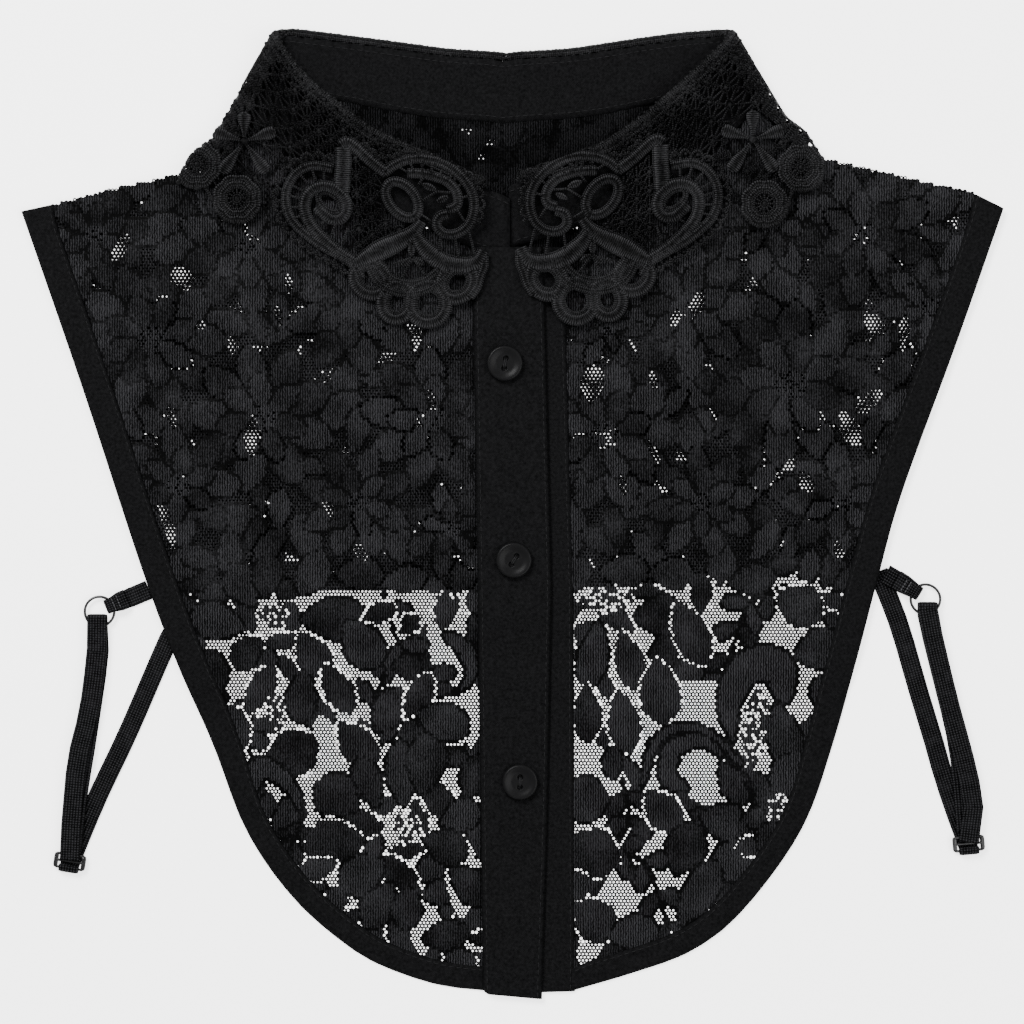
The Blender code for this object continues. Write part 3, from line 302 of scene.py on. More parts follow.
class CollarSide:
    """One half of the collar, as a flat pattern that folds round the side of the neck.

    g is the distance from the side fold: positive on the front half, negative on the back half.
    w is the distance below the line where the leaf begins to fall. Negative w is the roll, and
    then the stand under it.
    """

    def __init__(self, side):
        self.side = side
        start, end = (np.array(point) for point in FOLD[side])
        self.start = start
        self.down = (end - start) / np.linalg.norm(end - start)
        turn = 1 if side == "left" else -1
        self.inward = turn * np.array([-self.down[1], self.down[0]])
        rows = [self.flat("front", x, y) for x, y in FRONT_ROLL[side]]
        rows += [self.flat("back", x, y) for x, y in BACK_ROLL[side]]
        self.roll = np.array(sorted(rows))

    def flare(self, inside, down):
        """How far the plan moves out near the lower end of the fold."""
        near_end = ease((down - FOLD_CUT[self.side]) / FLARE_LENGTH + 1)
        return FLARE * near_end * (1 - ease(inside / FLARE_REACH))

    def frame(self, x, y):
        """Distance inside the fold line, and distance down along it."""
        dx, dy = np.asarray(x) - self.start[0], np.asarray(y) - self.start[1]
        down = dx * self.down[0] + dy * self.down[1]
        straight = inside = dx * self.inward[0] + dy * self.inward[1]
        for _ in range(6):
            inside = straight + self.flare(inside, down)
        return inside, down

    def flat(self, half, x, y, w=0):
        """A plan point of either half as (g, distance down)."""
        inside, down = self.frame(x, y)
        back = (2 - math.pi) * self.radius(w) - inside
        return (inside if half == "front" else back), down

    def roll_line(self, g):
        """Where the leaf begins to fall, rounded where the fold crosses it."""
        return sum(np.interp(g + step, *self.roll.T) for step in np.linspace(-4, 4, 9)) / 9

    def pattern(self, half, x, y):
        """A plan point of either half as (g, w)."""
        w = 0
        for _ in range(3):
            g, down = self.flat(half, x, y, w)
            w = down - self.roll_line(g)
        return g, w

    def radius(self, w):
        """The side fold is tighter at the edge of the leaf than at the roll."""
        step = FOLD_RADIUS_AT_ROLL - FOLD_RADIUS_AT_EDGE
        return FOLD_RADIUS_AT_ROLL - step * ease(w / ROLL_REACH)

    def turn(self, g, w=0):
        """The angle of the side fold: 0 on the front half, pi on the back half."""
        radius = self.radius(w)
        return np.clip((radius - g) / radius, 0, math.pi)

    def inside(self, g, w=0):
        """Distance inside the fold line in the plan."""
        radius = self.radius(w)
        back = (2 - math.pi) * radius - g
        folded = radius * (1 - np.sin(self.turn(g, w)))
        return np.where(g > radius, g, np.where(g < (1 - math.pi) * radius, back, folded))

    def plan(self, inside, down):
        """The plan point at a distance inside the fold line and a distance down along it."""
        inside = inside - self.flare(inside, down)
        return (self.start[0] + inside * self.inward[0] + down * self.down[0],
                self.start[1] + inside * self.inward[1] + down * self.down[1])

    def front_level(self, x, y, w):
        """Height of the middle of the leaf on the front half."""
        fall = 0.5 * (1 + np.cos(math.pi * np.clip(w / ROLL_REACH, 0, 1)))
        over_bands = OVER_BAND * ease((27 - np.abs(x - 2)) / 8)
        resting = front_height(x, y) + LACE + LEAF_CLEARANCE + LEAF / 2
        return resting + over_bands * (1 - fall) + ROLL_LIFT * fall

    def leaf(self, g, w):
        """The middle surface of the leaf as x, y, z."""
        turn = self.turn(g, w)
        rolled = np.clip(-w, 0, math.pi * ROLL_RADIUS) / ROLL_RADIUS
        beyond = np.clip(-w - math.pi * ROLL_RADIUS, 0, None)
        down = self.roll_line(g) + np.clip(w, 0, None)
        front = self.front_level(*self.plan(self.inside(g, w), down), w)
        z = (front + LEAF / 2) / 2 + (front - LEAF / 2) / 2 * np.cos(turn)
        towards_stand = ROLL_RADIUS * (1 - np.cos(rolled))
        inside = self.inside(g, w) + towards_stand * np.sin(turn)
        x, y = self.plan(inside, down - ROLL_RADIUS * np.sin(rolled) + beyond)
        return np.stack([x, y, z - towards_stand * np.cos(turn)], axis=-1)

    def stand(self, g, v):
        """The middle surface of the stand, v below its top edge."""
        top = self.leaf(g, np.full_like(g, -ROLL_LENGTH - 2.5 * SEAM))
        straight = ease((np.abs(self.inside(g)) - 25) / 50)[:, None]
        direction = (1 - straight) * self.down + straight * np.array([0, -1])
        direction /= np.linalg.norm(direction, axis=1)[:, None]
        plan = top[:, :2] + direction * v
        foot = top[:, :2] + direction * STAND_HEIGHT
        front = front_height(foot[:, 0], foot[:, 1]) + 0.6
        back = OVER_LEAF + 0.6
        foot_z = (front + back) / 2 + (front - back) / 2 * np.cos(self.turn(g))
        z = top[:, 2] + (foot_z - top[:, 2]) * v / STAND_HEIGHT
        return np.column_stack([plan, z])

    def stations(self, spacing):
        """Values of g from the centre front to the centre back, close together in the fold."""
        front, back, fold = self.roll[-1, 0], self.roll[0, 0], FOLD_RADIUS_AT_ROLL
        fold_end = (1 - math.pi) * fold
        return np.concatenate([np.linspace(front, fold, int((front - fold) / spacing) + 1),
                               np.linspace(fold, fold_end, 9)[1:-1],
                               np.linspace(fold_end, back, int((fold_end - back) / spacing) + 1)])

    def neck_edge(self, half):
        """The plan of the panel's neck edge, just below the stand, from the centre to the fold."""
        g = self.stations(6)
        if half == "front":
            near_fold = FOLD_RADIUS_AT_ROLL + 0.8
            g = g[g > near_fold + 1.5]
        else:
            near_fold = (1 - math.pi) * FOLD_RADIUS_AT_ROLL - 0.8
            g = g[g < near_fold - 1.5][::-1]
        return self.stand(np.append(g, near_fold), STAND_HEIGHT + SEAM + 0.1)[:, :2]


def inside_loop(points, loop):
    """Which plan points lie inside a closed loop."""
    x, y = points[:, 0], points[:, 1]
    result = np.zeros(len(points), bool)
    for (ax, ay), (bx, by) in zip(loop, np.roll(loop, -1, axis=0)):
        crosses = (ay > y) != (by > y)
        with np.errstate(divide="ignore", invalid="ignore"):
            result ^= crosses & (x < (bx - ax) * (y - ay) / (by - ay) + ax)
    return result


def ellipse(x, y, length, width, angle, count):
    a, b = (circle(count) * (length / 2, width / 2)).T
    return np.column_stack(turned(a, b, angle, x, y))


def front_curve(side):
    """The outer edge of a front, and the width of its binding along it."""
    path = smooth_path(FRONT_EDGE[side], 8)
    hem = ease((-60 - path[:, 1]) / 60)
    return path, ARMHOLE_BINDING_WIDTH + (HEM_BINDING_WIDTH - ARMHOLE_BINDING_WIDTH) * hem


def binding_edge(side, path, width, shoulder_step):
    """The inner edge of a binding. Its first point is on the shoulder seam."""
    edge = side_step(path, width if side == "left" else -width)
    edge[0] = point_on(SHOULDER[side], shoulder_step)
    edge[-1][0] = path[-1][0]
    return edge


def shoulder_line(side, collar, half):
    """The shoulder edge of a panel, from the binding to the neck edge, kept inside the fold."""
    first = point_on(SHOULDER[side], 12.2 if half == "front" else 15.6)
    middle = [np.array(point) for point in SHOULDER[side][1:] if abs(point[0]) < abs(first[0]) - 2]
    neck = collar.neck_edge(half)[-1]
    inside, down = collar.frame(*neck)
    risers = [np.array(collar.plan(inside, value)) for value in np.linspace(50, down, 4)[:-1]]
    return [first] + middle + [point for point in risers if point[1] > middle[-1][1] + 2]


def motif_point(side, points):
    """Points of the front motif, given across and up from its middle, in the plan."""
    x, y, angle, hand = MOTIF[side]
    across, up = np.array(points, float).T
    return np.stack(turned(across * hand, up, angle, x, y), axis=-1)


def arc(middle, radius, start, end, count):
    """Points round a middle, from a start to an end angle in degrees."""
    return middle + radius * rays(np.radians(np.linspace(start, end, count)))


def half_turn(tip, direction):
    """The middle points of a strap that turns back over a wire, from low to high.

    tip is the plan of the turn's outermost middle point, and direction points to it.
    """
    radius = (HIGH - LOW) / 2
    steps = np.linspace(-math.pi / 2, math.pi / 2, 7)
    plan = tip + np.outer(radius * (np.cos(steps) - 1), direction)
    return np.column_stack([plan, WIRE_HEIGHT + radius * np.sin(steps)])


def rounded_rectangle(width, height, radius, count):
    x, y = width / 2 - radius, height / 2 - radius
    corners = ((x, y), (-x, y), (-x, -y), (x, -y))
    return np.vstack([arc(corner, radius, 90 * i, 90 * i + 90, count) for i, corner in enumerate(corners)])


# ---- tables of the lace and the guipure

# Flowers of the lace.   x, y, radius, petals, angle in degrees
LACE_FLOWERS = {
    "left": ((-130, 62, 27, 10, 0), (-90, 34, 26, 9, 20), (-57, 74, 24, 9, 40), (-29, 34, 25, 9, 15),
             (-120, 10, 22, 8, 5), (-56, 4, 20, 8, 25), (-22, -6, 17, 7, 0), (-150, 100, 19, 8, 10),
             (-95, 96, 24, 9, 0)),
    "right": ((33, 28, 27, 10, 5), (100, 46, 29, 10, 12), (62, 74, 25, 9, 0), (126, 100, 25, 9, 25),
              (68, 4, 20, 8, 10), (118, 4, 21, 8, 0), (150, 74, 18, 8, 0), (92, 104, 20, 8, 30),
              (34, 66, 14, 6, 0)),
    "back": ((-120, 52, 27, 10, 15), (-66, 48, 26, 9, 0), (-10, 52, 27, 10, 30), (48, 46, 25, 9, 10),
             (104, 60, 28, 10, 20), (-92, 2, 25, 9, 5), (-38, -4, 24, 9, 25), (18, 0, 24, 9, 0),
             (74, 0, 25, 9, 12), (-60, 98, 23, 9, 8), (-6, 104, 24, 9, 20), (50, 100, 24, 9, 0),
             (-118, 98, 20, 8, 10), (124, 100, 22, 8, 0), (128, 18, 18, 8, 15)),
}
# Large leaves and petals below the back's hem, placed one by one.   x, y, length, width, angle in degrees
LACE_LEAVES = {
    "left": ((-97, -26, 17, 12, 120), (-88, -23, 15, 11, 80), (-106, -39, 19, 13, 165),
             (-95, -50, 15, 12, 230), (-88, -55, 13, 8, 265), (-72, -51, 18, 13, 300), (-64, -38, 24, 15, 0),
             (-54, -47, 20, 14, -55), (-63, -63, 20, 11, -60), (-76, -66, 18, 11, -95),
             (-91, -64, 20, 10, 60), (-80, -87, 21, 17, 30), (-56, -83, 20, 13, -50), (-44, -71, 17, 12, 60),
             (-34, -66, 18, 10, 60), (-52, -97, 19, 10, 110), (-40, -94, 23, 11, 95), (-31, -90, 22, 14, 80),
             (-54, -112, 16, 11, 170), (-63, -102, 17, 16, 150), (-64, -119, 21, 18, 190),
             (-54, -130, 18, 14, 215), (-48, -141, 18, 12, 240), (-38, -142, 15, 11, 265),
             (-24, -120, 16, 12, -20), (-19, -109, 15, 11, 20), (-14, -95, 16, 10, 70),
             (-15, -134, 18, 12, -40), (-38, -55, 10, 9, 0), (-37, -40, 9, 7, 40), (-24, -35, 16, 9, 75),
             (-25, -75, 19, 13, -20), (-48, -36, 13, 8, 20), (-39, -24, 16, 10, 10), (-81, -108, 15, 9, 50),
             (-17, -22, 17, 10, 60), (-55, -22, 17, 12, 0), (-72, -22, 17, 12, 60), (-108, -58, 17, 12, 100),
             (-24, -152, 17, 10, 10), (-100, -78, 18, 12, 110), (-70, -128, 15, 9, 200)),
    "right": ((18, -35, 16, 12, 190), (18, -50, 18, 10, -95), (18, -66, 17, 10, -90), (29, -51, 24, 11, -100),
              (42, -53, 22, 11, -75), (53, -37, 19, 14, 0), (64, -43, 25, 13, -65), (53, -64, 23, 15, -85),
              (27, -72, 21, 11, -90), (40, -75, 23, 12, -80), (68, -29, 15, 9, 90), (103, -33, 18, 16, -30),
              (110, -49, 18, 14, 20), (98, -81, 25, 12, -75), (79, -97, 17, 9, -60), (36, -90, 12, 7, 90),
              (54, -107, 18, 13, -50), (25, -103, 18, 16, 0), (28, -122, 21, 18, -20),
              (29, -146, 19, 15, -45), (62, -121, 19, 14, 70), (76, -111, 17, 13, -10),
              (78, -126, 20, 14, 30), (87, -110, 9, 8, 0), (85, -120, 9, 8, 0), (99, -95, 18, 13, 60),
              (67, -137, 26, 12, 60), (43, -151, 18, 12, 10), (18, -88, 14, 9, 90), (20, -22, 17, 12, 20),
              (40, -21, 18, 12, 0), (57, -22, 16, 12, 0), (112, -66, 15, 9, 100), (92, -117, 12, 9, 60),
              (86, -24, 17, 10, 10), (21, -134, 16, 11, 0)),
    "back": (),
}
# Clusters of round holes, which stand for stamens.   x, y, length, width, angle in degrees
BERRIES = {
    "left": ((-85, -72, 15, 8, 100), (-38, -113, 14, 11, 80), (-86, -37, 12, 10, 0)),
    "right": ((87, -79, 32, 11, 82), (34, -31, 20, 13, 0), (95, -106, 12, 10, 60)),
    "back": (),
}
# Sprigs: a bent stem with pairs of small leaves.   x, y of the start, bend and end, pairs
SPRIGS = {
    "left": ((-46, -30, -41, -46, -31, -58, 3), (-50, -86, -50, -70, -45, -55, 3),
             (-103, -66, -98, -80, -90, -94, 3), (-75, -110, -80, -122, -77, -132, 2)),
    "right": ((96, -27, 85, -33, 78, -52, 4), (40, -98, 42, -110, 37, -120, 3),
              (36, -121, 48, -127, 56, -148, 4), (104, -92, 98, -106, 88, -116, 2)),
    "back": (),
}
# Curled leaves.   width, then x, y of points along each
CURLS = {
    "left": ((6, -24, -44, -17, -49, -15, -58, -20, -65), (8, -98, -106, -91, -92, -80, -98, -76, -108)),
    "right": ((13, 98, -66, 95, -55, 84, -56, 78, -68, 79, -82),
              (4, 47, -97, 51, -83, 61, -77, 73, -81, 82, -91, 87, -104),
              (7, 62, -99, 56, -95, 58, -85, 68, -82, 77, -88)),
    "back": (),
}
# Brightness of the painted highlight on a petal's ribs, darkest and lightest, of an outline and of the net.
PETAL_TONE = (0.42, 1)
OUTLINE_TONE = 0.12
NET_TONE = 0.5
BACK_NET_WIDTH = 1.5
# The lace's pattern changes below and above these heights on the fronts and on the back.   y
HEM_ZONE = -24
NECK_ZONE = 112
UNDER_MOTIF = (38, 31)  # half the length and height of the closed lace under the guipure's motif
# Share of open net left between the flowers: above the back's hem, below it, on the back and on the
# back near the neck.
OPEN_SHARE = {"left": (0.09, 0.025), "right": (0.09, 0.035), "back": (0.05, 0.015)}
# Windows of plain net, in a front and in the back under it.   x, y, length, width, angle in degrees
WINDOWS = ((-125, -7, 21, 7.5, 100), (-94, 27, 15, 5, 88), (-118.6, 84, 10, 7, 120), (-141, 95, 12, 5, 60),
           (-80, 83, 9, 3, 80), (-84, 71, 8, 2.6, 100), (-122.5, 34, 9, 4, 100), (-29, 41, 8, 3, 105),
           (-54, -14, 9, 3.4, 120), (-66, 1, 8, 3.4, 125), (-112, 67, 6, 3, 20), (-101, 61, 7, 2.8, 100),
           (66.5, 75, 11, 5.5, 75), (58.4, 70, 7, 3, 75), (28.6, 46, 14, 8.5, 85), (130, 68, 11, 6, -50),
           (140.6, 65, 12, 4, 85), (121, 31, 14, 6, -65), (127.5, 39.5, 13, 6, 40), (105.4, 11.4, 10, 5, -60),
           (50.6, 48, 8, 3, -70), (50.6, 22, 10, 3, -65), (39.6, 10, 8, 3, -75), (117, -13, 7, 4, -70),
           (86, 82, 6, 3, 60), (-16, 137.5, 3, 1, 0), (-7.5, 133.6, 2.6, 1, 30), (-10.6, 127.4, 3.6, 1.8, 0))
# Places below the back's hem where no filling leaf is laid, in the same form.
KEPT_OPEN = ((-104.4, -54, 24, 10, -62), (-99.4, -76.7, 22, 10, -60), (-54.4, -64, 28, 15, -55),
             (-65.5, -84.6, 26, 14, -70), (-77.8, -101.9, 30, 15, -40), (-38.9, -34, 32, 14, 0),
             (-24.8, -47, 32, 12, -75), (-17.5, -54.7, 20, 12, 90), (-15.1, -72.6, 24, 10, 90),
             (-18.4, -131.4, 30, 12, 90), (-32.4, -150, 20, 10, 90), (-68.4, -128, 18, 9, -40),
             (-45, -70, 18, 9, -60), (82, -38, 34, 26, 60), (69.6, -71.3, 30, 24, -40),
             (98.7, -42, 22, 18, -45), (105.6, -64.4, 24, 14, 75), (22.5, -83.7, 24, 16, -80),
             (32.2, -94.8, 34, 16, -60), (54.4, -89.3, 26, 10, 60), (69.6, -94.8, 26, 18, -50),
             (43.3, -137.8, 34, 24, 30), (28, -156, 16, 9, 60), (51.6, -114.2, 22, 11, -40))
# Share of the petals whose outline is a row of holes, above and below the hem.
HOLED_SHARE = {"left": (0.22, 0.5), "right": (0.22, 0.5), "back": (0.05, 0)}

# Raised bands of the guipure's front motif.   name, width, rise, groove, path of (across, up)
MOTIF_BANDS = (("outer arc", 2.8, 0.95, 0.45,
                ((-17, 26), (-24.5, 27.5), (-30.5, 25), (-34, 19.5), (-34.5, 13.5), (-32.5, 8), (-28, 3),
                 (-22.5, -1.5), (-17, -5), (-12, -9), (-9.5, -14))),
               ("scroll", 3.7, 1, 0.3,
                ((-11.5, -8), (-17.5, -3.5), (-23, 2), (-26.8, 7.5), (-28, 13), (-26.5, 17.5), (-22.5, 19.8),
                 (-17.5, 19), (-13.8, 15.5), (-13, 11.5), (-15.2, 8.2), (-18.6, 8), (-21.4, 10.2),
                 (-23.6, 13))),
               ("left leg", 5.4, 0.85, 0.12, ((-14.4, 17), (-13.8, 22), (-13, 27), (-12.4, 33))),
               ("right leg", 3.6, 1, 0.3,
                ((-13.6, 33.6), (-11, 34.6), (-7.6, 32), (-4.2, 28.4), (-0.8, 25.2), (2.4, 22.6))),
               ("wide scroll", 3, 1.05, 0.4,
                ((1, 22.6), (5.6, 25.4), (10.6, 26.8), (16, 26.6), (22, 24.6), (27.6, 20.6), (31.6, 15),
                 (32.6, 9), (30.8, 3.4), (26.6, 0), (21.8, -0.2), (18.8, 2.6), (19.8, 6), (23.2, 6.8))),
               ("inner scroll", 3, 0.9, 0.35,
                ((9.6, 22), (14, 21.6), (19, 20.2), (24, 17.6), (26.8, 13.4), (26.4, 9.4), (23, 8.2))),
               ("sweep", (2.4, 5.4, 7, 7, 6, 4.4, 3), 1, 0.12,
                ((-12.4, -8.4), (-7.4, -6.6), (-1.8, -4), (3.8, -1.8), (8.4, 0.4), (11.4, 2.6), (13.4, 5))),
               ("tail", (3.4, 5, 6.2, 6.4, 6, 5, 3.6), 0.95, 0.12,
                ((10.6, 1.6), (12.6, -3), (16.2, -7.2), (20.2, -10.2), (24.4, -11.6), (28.8, -12),
                 (32.6, -10.6), (34.8, -7))),
               ("shell", 1.9, 0.9, 0.3,
                ((-3.4, -7.6), (-1.6, -11.6), (2.4, -15), (8, -16.6), (13.6, -15.6), (18.2, -12.2),
                 (20, -9.8))),
               ("shell rim", 2, 0.95, 0.3,
                ((-7, -9), (-4.8, -14.4), (0.4, -19), (7.6, -20.6), (14.8, -19.2), (20.6, -15.4),
                 (23.6, -11.4))),
               ("end", 2.6, 0.9, 0.3,
                ((34.9, -8.6), (34.6, -12.5), (33.1, -15.8), (31.4, -20), (28.6, -23.4))))
# Eyes and rings.   across, up, length, width, angle, band
MOTIF_RINGS = ((7, 13, 14.6, 9.2, -54, 3), (-19, 14.2, 9.4, 5.4, -42, 1.5))
# Lobes under the shell.   across, up, length and width of the opening, angle
MOTIF_LOBES = ((-6.4, -14.2, 7.4, 5.8, -40), (2.4, -23, 7.4, 5.6, 76), (13.6, -24.4, 8.8, 8.2, 80),
               (24.6, -17.6, 7.6, 6, 40))
# Short bars that tie two bands.   across and up of both ends
MOTIF_BARS = ((-20, 26.6, -20.4, 21.8), (-24.4, 26.6, -23.4, 21.6), (-29, 24.8, -25.8, 20.8),
              (-32.4, 21.4, -28, 18.6), (-33.4, 17.6, -29.2, 16), (-33.8, 13.4, -29.6, 13),
              (-32.4, 9.4, -28.6, 10.2), (-30, 5.8, -26.8, 7.4), (-26.8, 2.6, -24, 4.6),
              (-23, -0.4, -20.4, 1.6), (-18.8, -3, -16.6, -1.4), (-25, 10.6, -22, 10), (-23, 6.4, -20, 8.2),
              (-19.4, 2.4, -16.8, 7.4), (-15.4, -0.6, -13.2, 4.6), (6, 25, 9.6, 22.4), (10.6, 26.2, 12.2, 22),
              (14.8, 26.2, 15.2, 21.6), (18.8, 25.2, 18, 20.8), (22.8, 23.4, 20.6, 19.6),
              (26.2, 20.8, 23.4, 18.2), (29.2, 17.2, 26, 15), (31, 12.4, 27.6, 11.8), (28.8, 3.6, 26, 8.8),
              (14, 12, 19.6, 14.8), (19.6, 14.8, 25, 14), (13, 17.6, 16, 20.8), (16.6, 5, 12.6, 8),
              (25, -1.4, 25.6, -9), (19.6, -1, 18.6, -6.4), (30, 0.6, 31.6, -8.6), (0, -13.4, -2.6, -16.6),
              (4.6, -16, 3.4, -19.8), (9.6, -16.6, 9.8, -20.4), (14.6, -15, 16.2, -18.4),
              (18.2, -12.6, 21.4, -14.4), (-2.4, -10.2, -5.4, -12), (9, -7.6, 5, -14.6),
              (9, -7.6, 13.4, -14.4), (9, -7.6, 2, -9.6), (9, -7.6, 15.6, -8.8), (9, -7.6, 8, -1.6))
# Satin leaves and petals.   across, up, length, width, angle in degrees
MOTIF_LEAVES = ((9, -5, 4.6, 2.6, 90), (6.6, -9.2, 4.4, 2.4, 35), (11.4, -9.2, 4.4, 2.4, 145),
                (17, 16.6, 6, 2.4, -28), (21.4, 12, 5, 2.2, 20))
# The field of the motif that keeps its net, and the rest, which stays open.   across, up
MOTIF_FIELD = ((-11, 27), (-9, 29.5), (-3.5, 24.5), (0.5, 20), (-0.5, 13), (2, 7), (8, 2.5), (-1, -1.5),
               (-9, -4.5), (-12.5, 0), (-11.5, 6), (-11, 14))
MOTIF_OPEN = ((-42, 28), (-43, 12), (-38, 0), (-26, -12), (-12, -18), (-8, -24), (4, -34), (24, -32),
              (40, -14), (40, 14), (32.6, 16), (27.6, 21), (20, 25.6), (10, 27), (3, 24.6), (-3, 27.6),
              (-10, 34.4), (-14, 33), (-15.6, 26), (-24, 28.6), (-32, 26.5), (-36, 29))
# The leaf's edge round its point, from the centre front.   across, up
POINT_EDGE = ((37.4, 20.6), (38.4, 13), (37.8, 6), (35.6, 0), (36.4, -6), (36.8, -11))
ARC_EDGE = ((-12.6, -15.6), (-19.6, -12), (-25.6, -8.4), (-31.6, -3.4), (-36, 2), (-39.2, 8), (-40.8, 14))


# ---- settings


def length(name, about, millimetres):
    """A length that the sidebar shows in the scene's unit."""
    return bpy.props.FloatProperty(name=name, description=about, default=millimetres * MM, min=0.00005,
                                   unit="LENGTH", precision=5)


def number(name, about, value, **limits):
    return bpy.props.FloatProperty(name=name, description=about, default=value, min=0, **limits)


def tint(name, about, *value):
    return bpy.props.FloatVectorProperty(name=name, description=about, default=value, size=3, min=0, max=1,
                                         subtype="COLOR")


class CollarLaceSettings(bpy.types.PropertyGroup):
    """The lace's net and flowers."""

    net_width: length("Net width", "Width of one hole of the net and its thread", 1.3)
    hole_share: number("Hole share", "Width of a hole as a share of its cell", 0.53, max=1, subtype="FACTOR")
    relief: length("Relief", "Height of a flower's cloth above the net", 0.6)
    seed: bpy.props.IntProperty(name="Seed", description="Changes where the leaves fall", default=11)
    colour: tint("Colour", "Colour of the lace", 0.0022, 0.0022, 0.0024)


class CollarGuipureSettings(bpy.types.PropertyGroup):
    """The openwork collar."""

    star_pitch: length("Star pitch", "Distance between the stars of the net ground", 5.4)
    star_thread: length("Star thread", "Width of the threads of the net ground", 0.7)
    rib: length("Satin rib", "Distance between the stitches of a satin band", 0.76)
    colour: tint("Colour", "Colour of the guipure", 0.0034, 0.0034, 0.0036)


class CollarClothSettings(bpy.types.PropertyGroup):
    """Woven cloth, elastic and stitches."""

    stitch: length("Stitch", "Length of one stitch", 2)
    stitch_gap: length("Stitch gap", "Gap between two stitches", 0.7)
    weave: length("Weave", "Width of one thread of the plain weave", 0.42)
    woven_colour: tint("Woven colour", "Colour of the bindings and bands", 0.003, 0.003, 0.0032)
    elastic_colour: tint("Elastic colour", "Colour of the tabs and straps", 0.0022, 0.0022, 0.0024)
    thread_colour: tint("Thread colour", "Colour of the sewing thread", 0.0075, 0.0075, 0.008)
    button_colour: tint("Button colour", "Colour of the buttons", 0.003, 0.003, 0.0032)
    metal_colour: tint("Metal colour", "Colour of the coated rings and sliders", 0.004, 0.004, 0.0043)


class CollarStageSettings(bpy.types.PropertyGroup):
    """Floor, lights and camera."""

    floor_colour: tint("Floor colour", "Colour of the floor", 0.9, 0.9, 0.9)
    view_width: length("View width", "Width of the floor that the camera sees", 368.64)
    key_power: number("Key light", "Power of the key light", 60, unit="POWER")
    glow: number("Floor glow", "Light that the floor gives off", 2)
    sky: number("Sky", "Strength of the even light", 0.85)


# ---- meshes


def new_piece(name, points, blocks, finish, nodes, values, domain="POINT"):
    """A mesh from points in millimetres and blocks of faces that have equal corner counts.

    It rides on the piece's one body and stands for the named CAD nodes. values holds numbers for
    each point or face, which materials read as attributes.
    """
    sizes = np.concatenate([np.full(len(block), block.shape[1]) for block in blocks])
    corners = np.concatenate([block.ravel() for block in blocks])
    mesh = bpy.data.meshes.new(name)
    mesh.vertices.add(len(points))
    mesh.vertices.foreach_set("co", (points * MM).astype(np.float32).ravel())
    mesh.loops.add(len(corners))
    mesh.loops.foreach_set("vertex_index", corners.astype(np.int32))
    mesh.polygons.add(len(sizes))
    mesh.polygons.foreach_set("loop_start", (np.cumsum(sizes) - sizes).astype(np.int32))
    mesh.polygons.foreach_set("use_smooth", np.ones(len(sizes), bool))
    mesh.update(calc_edges=True)
    for key, numbers in values.items():
        mesh.attributes.new(key, "FLOAT", domain).data.foreach_set("value", numbers.astype(np.float32))
    mesh.materials.append(finish)
    made = bpy.data.objects.new(name, mesh)
    bpy.context.scene.collection.objects.link(made)
    if nodes:
        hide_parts(*nodes)
    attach(made, "root")
    return made


def grid_quads(rows, columns):
    """Quads between rows of points that are counted row by row. Each row is closed."""
    i, j = columns * np.arange(rows - 1)[:, None], np.arange(columns)
    k = (j + 1) % columns
    return np.stack([i + j, i + k, i + columns + k, i + columns + j], axis=-1).reshape(-1, 4)


class Bundle:
    """Gathers cords, knots and cloth into the points and faces of one mesh."""

    def __init__(self):
        self.points, self.along, self.across, self.blocks, self.count = [], [], [], {}, 0

    def add(self, points, blocks, along=0, across=0):
        """Adds copies of one form: its points as (copies, points of each, 3), and one copy's faces."""
        copies, each = points.shape[:2]
        shift = self.count + each * np.arange(copies)[:, None, None]
        for block in blocks:
            corners = block.shape[1]
            self.blocks.setdefault(corners, []).append((block + shift).reshape(-1, corners))
        self.points.append(points.reshape(-1, 3))
        self.along.append(np.broadcast_to(along, (copies, each)).ravel())
        self.across.append(np.broadcast_to(across, (copies, each)).ravel())
        self.count += copies * each

    def tube(self, points, along=0, across=0, closed=False, flip=False):
        """Adds tubes as (copies, rows, points round each row, 3), capped unless they are closed."""
        copies, rows, columns = points.shape[:3]
        ring = np.arange(columns)
        faces = [grid_quads(rows, columns), np.stack([ring[::-1], ring + (rows - 1) * columns])]
        if closed:
            faces = [grid_quads(rows + 1, columns) % (rows * columns)]
        if flip:
            faces = [face[:, ::-1] for face in faces]
        self.add(points.reshape(copies, -1, 3), faces,
                 np.repeat(np.broadcast_to(along, (copies, rows)), columns, axis=1),
                 np.tile(np.broadcast_to(across, columns), rows))

    def piece(self, name, finish, slot, *nodes):
        blocks = [np.concatenate(block) for block in self.blocks.values()]
        values = {"along": np.concatenate(self.along), "across": np.concatenate(self.across)}
        return new_piece(name, np.concatenate(self.points), blocks, finish, nodes, values)


def sweep(bundle, paths, ups, width, rise, profile, closed=False):
    """Carries a closed profile along one path, or along many that have equal point counts.

    A point is the path's point, plus a times half the width sideways, plus b times the rise along
    up, where (a, b) runs round the profile and sideways is square to the path's run and to up.
    """
    paths = np.reshape(paths, (-1, *np.shape(paths)[-2:]))
    ups = np.broadcast_to(ups, paths.shape)
    ahead = np.roll(paths, -1, 1) - np.roll(paths, 1, 1) if closed else np.gradient(paths, axis=1)
    sideways = unit(np.cross(ahead, ups))
    width, rise = (np.broadcast_to(size, paths.shape[:2])[..., None, None] for size in (width, rise))
    profile = np.array(profile)
    points = (paths[:, :, None] + sideways[:, :, None] * width / 2 * profile[:, :1]
              + ups[:, :, None] * rise * profile[:, 1:])
    bundle.tube(points, run_length(paths), profile[:, 0], closed)


CORD = circle(6) * (1, 0.5) + (0, 0.5)
THREAD = ((1, 0), (0, 1), (-1, 0), (0, -0.1))


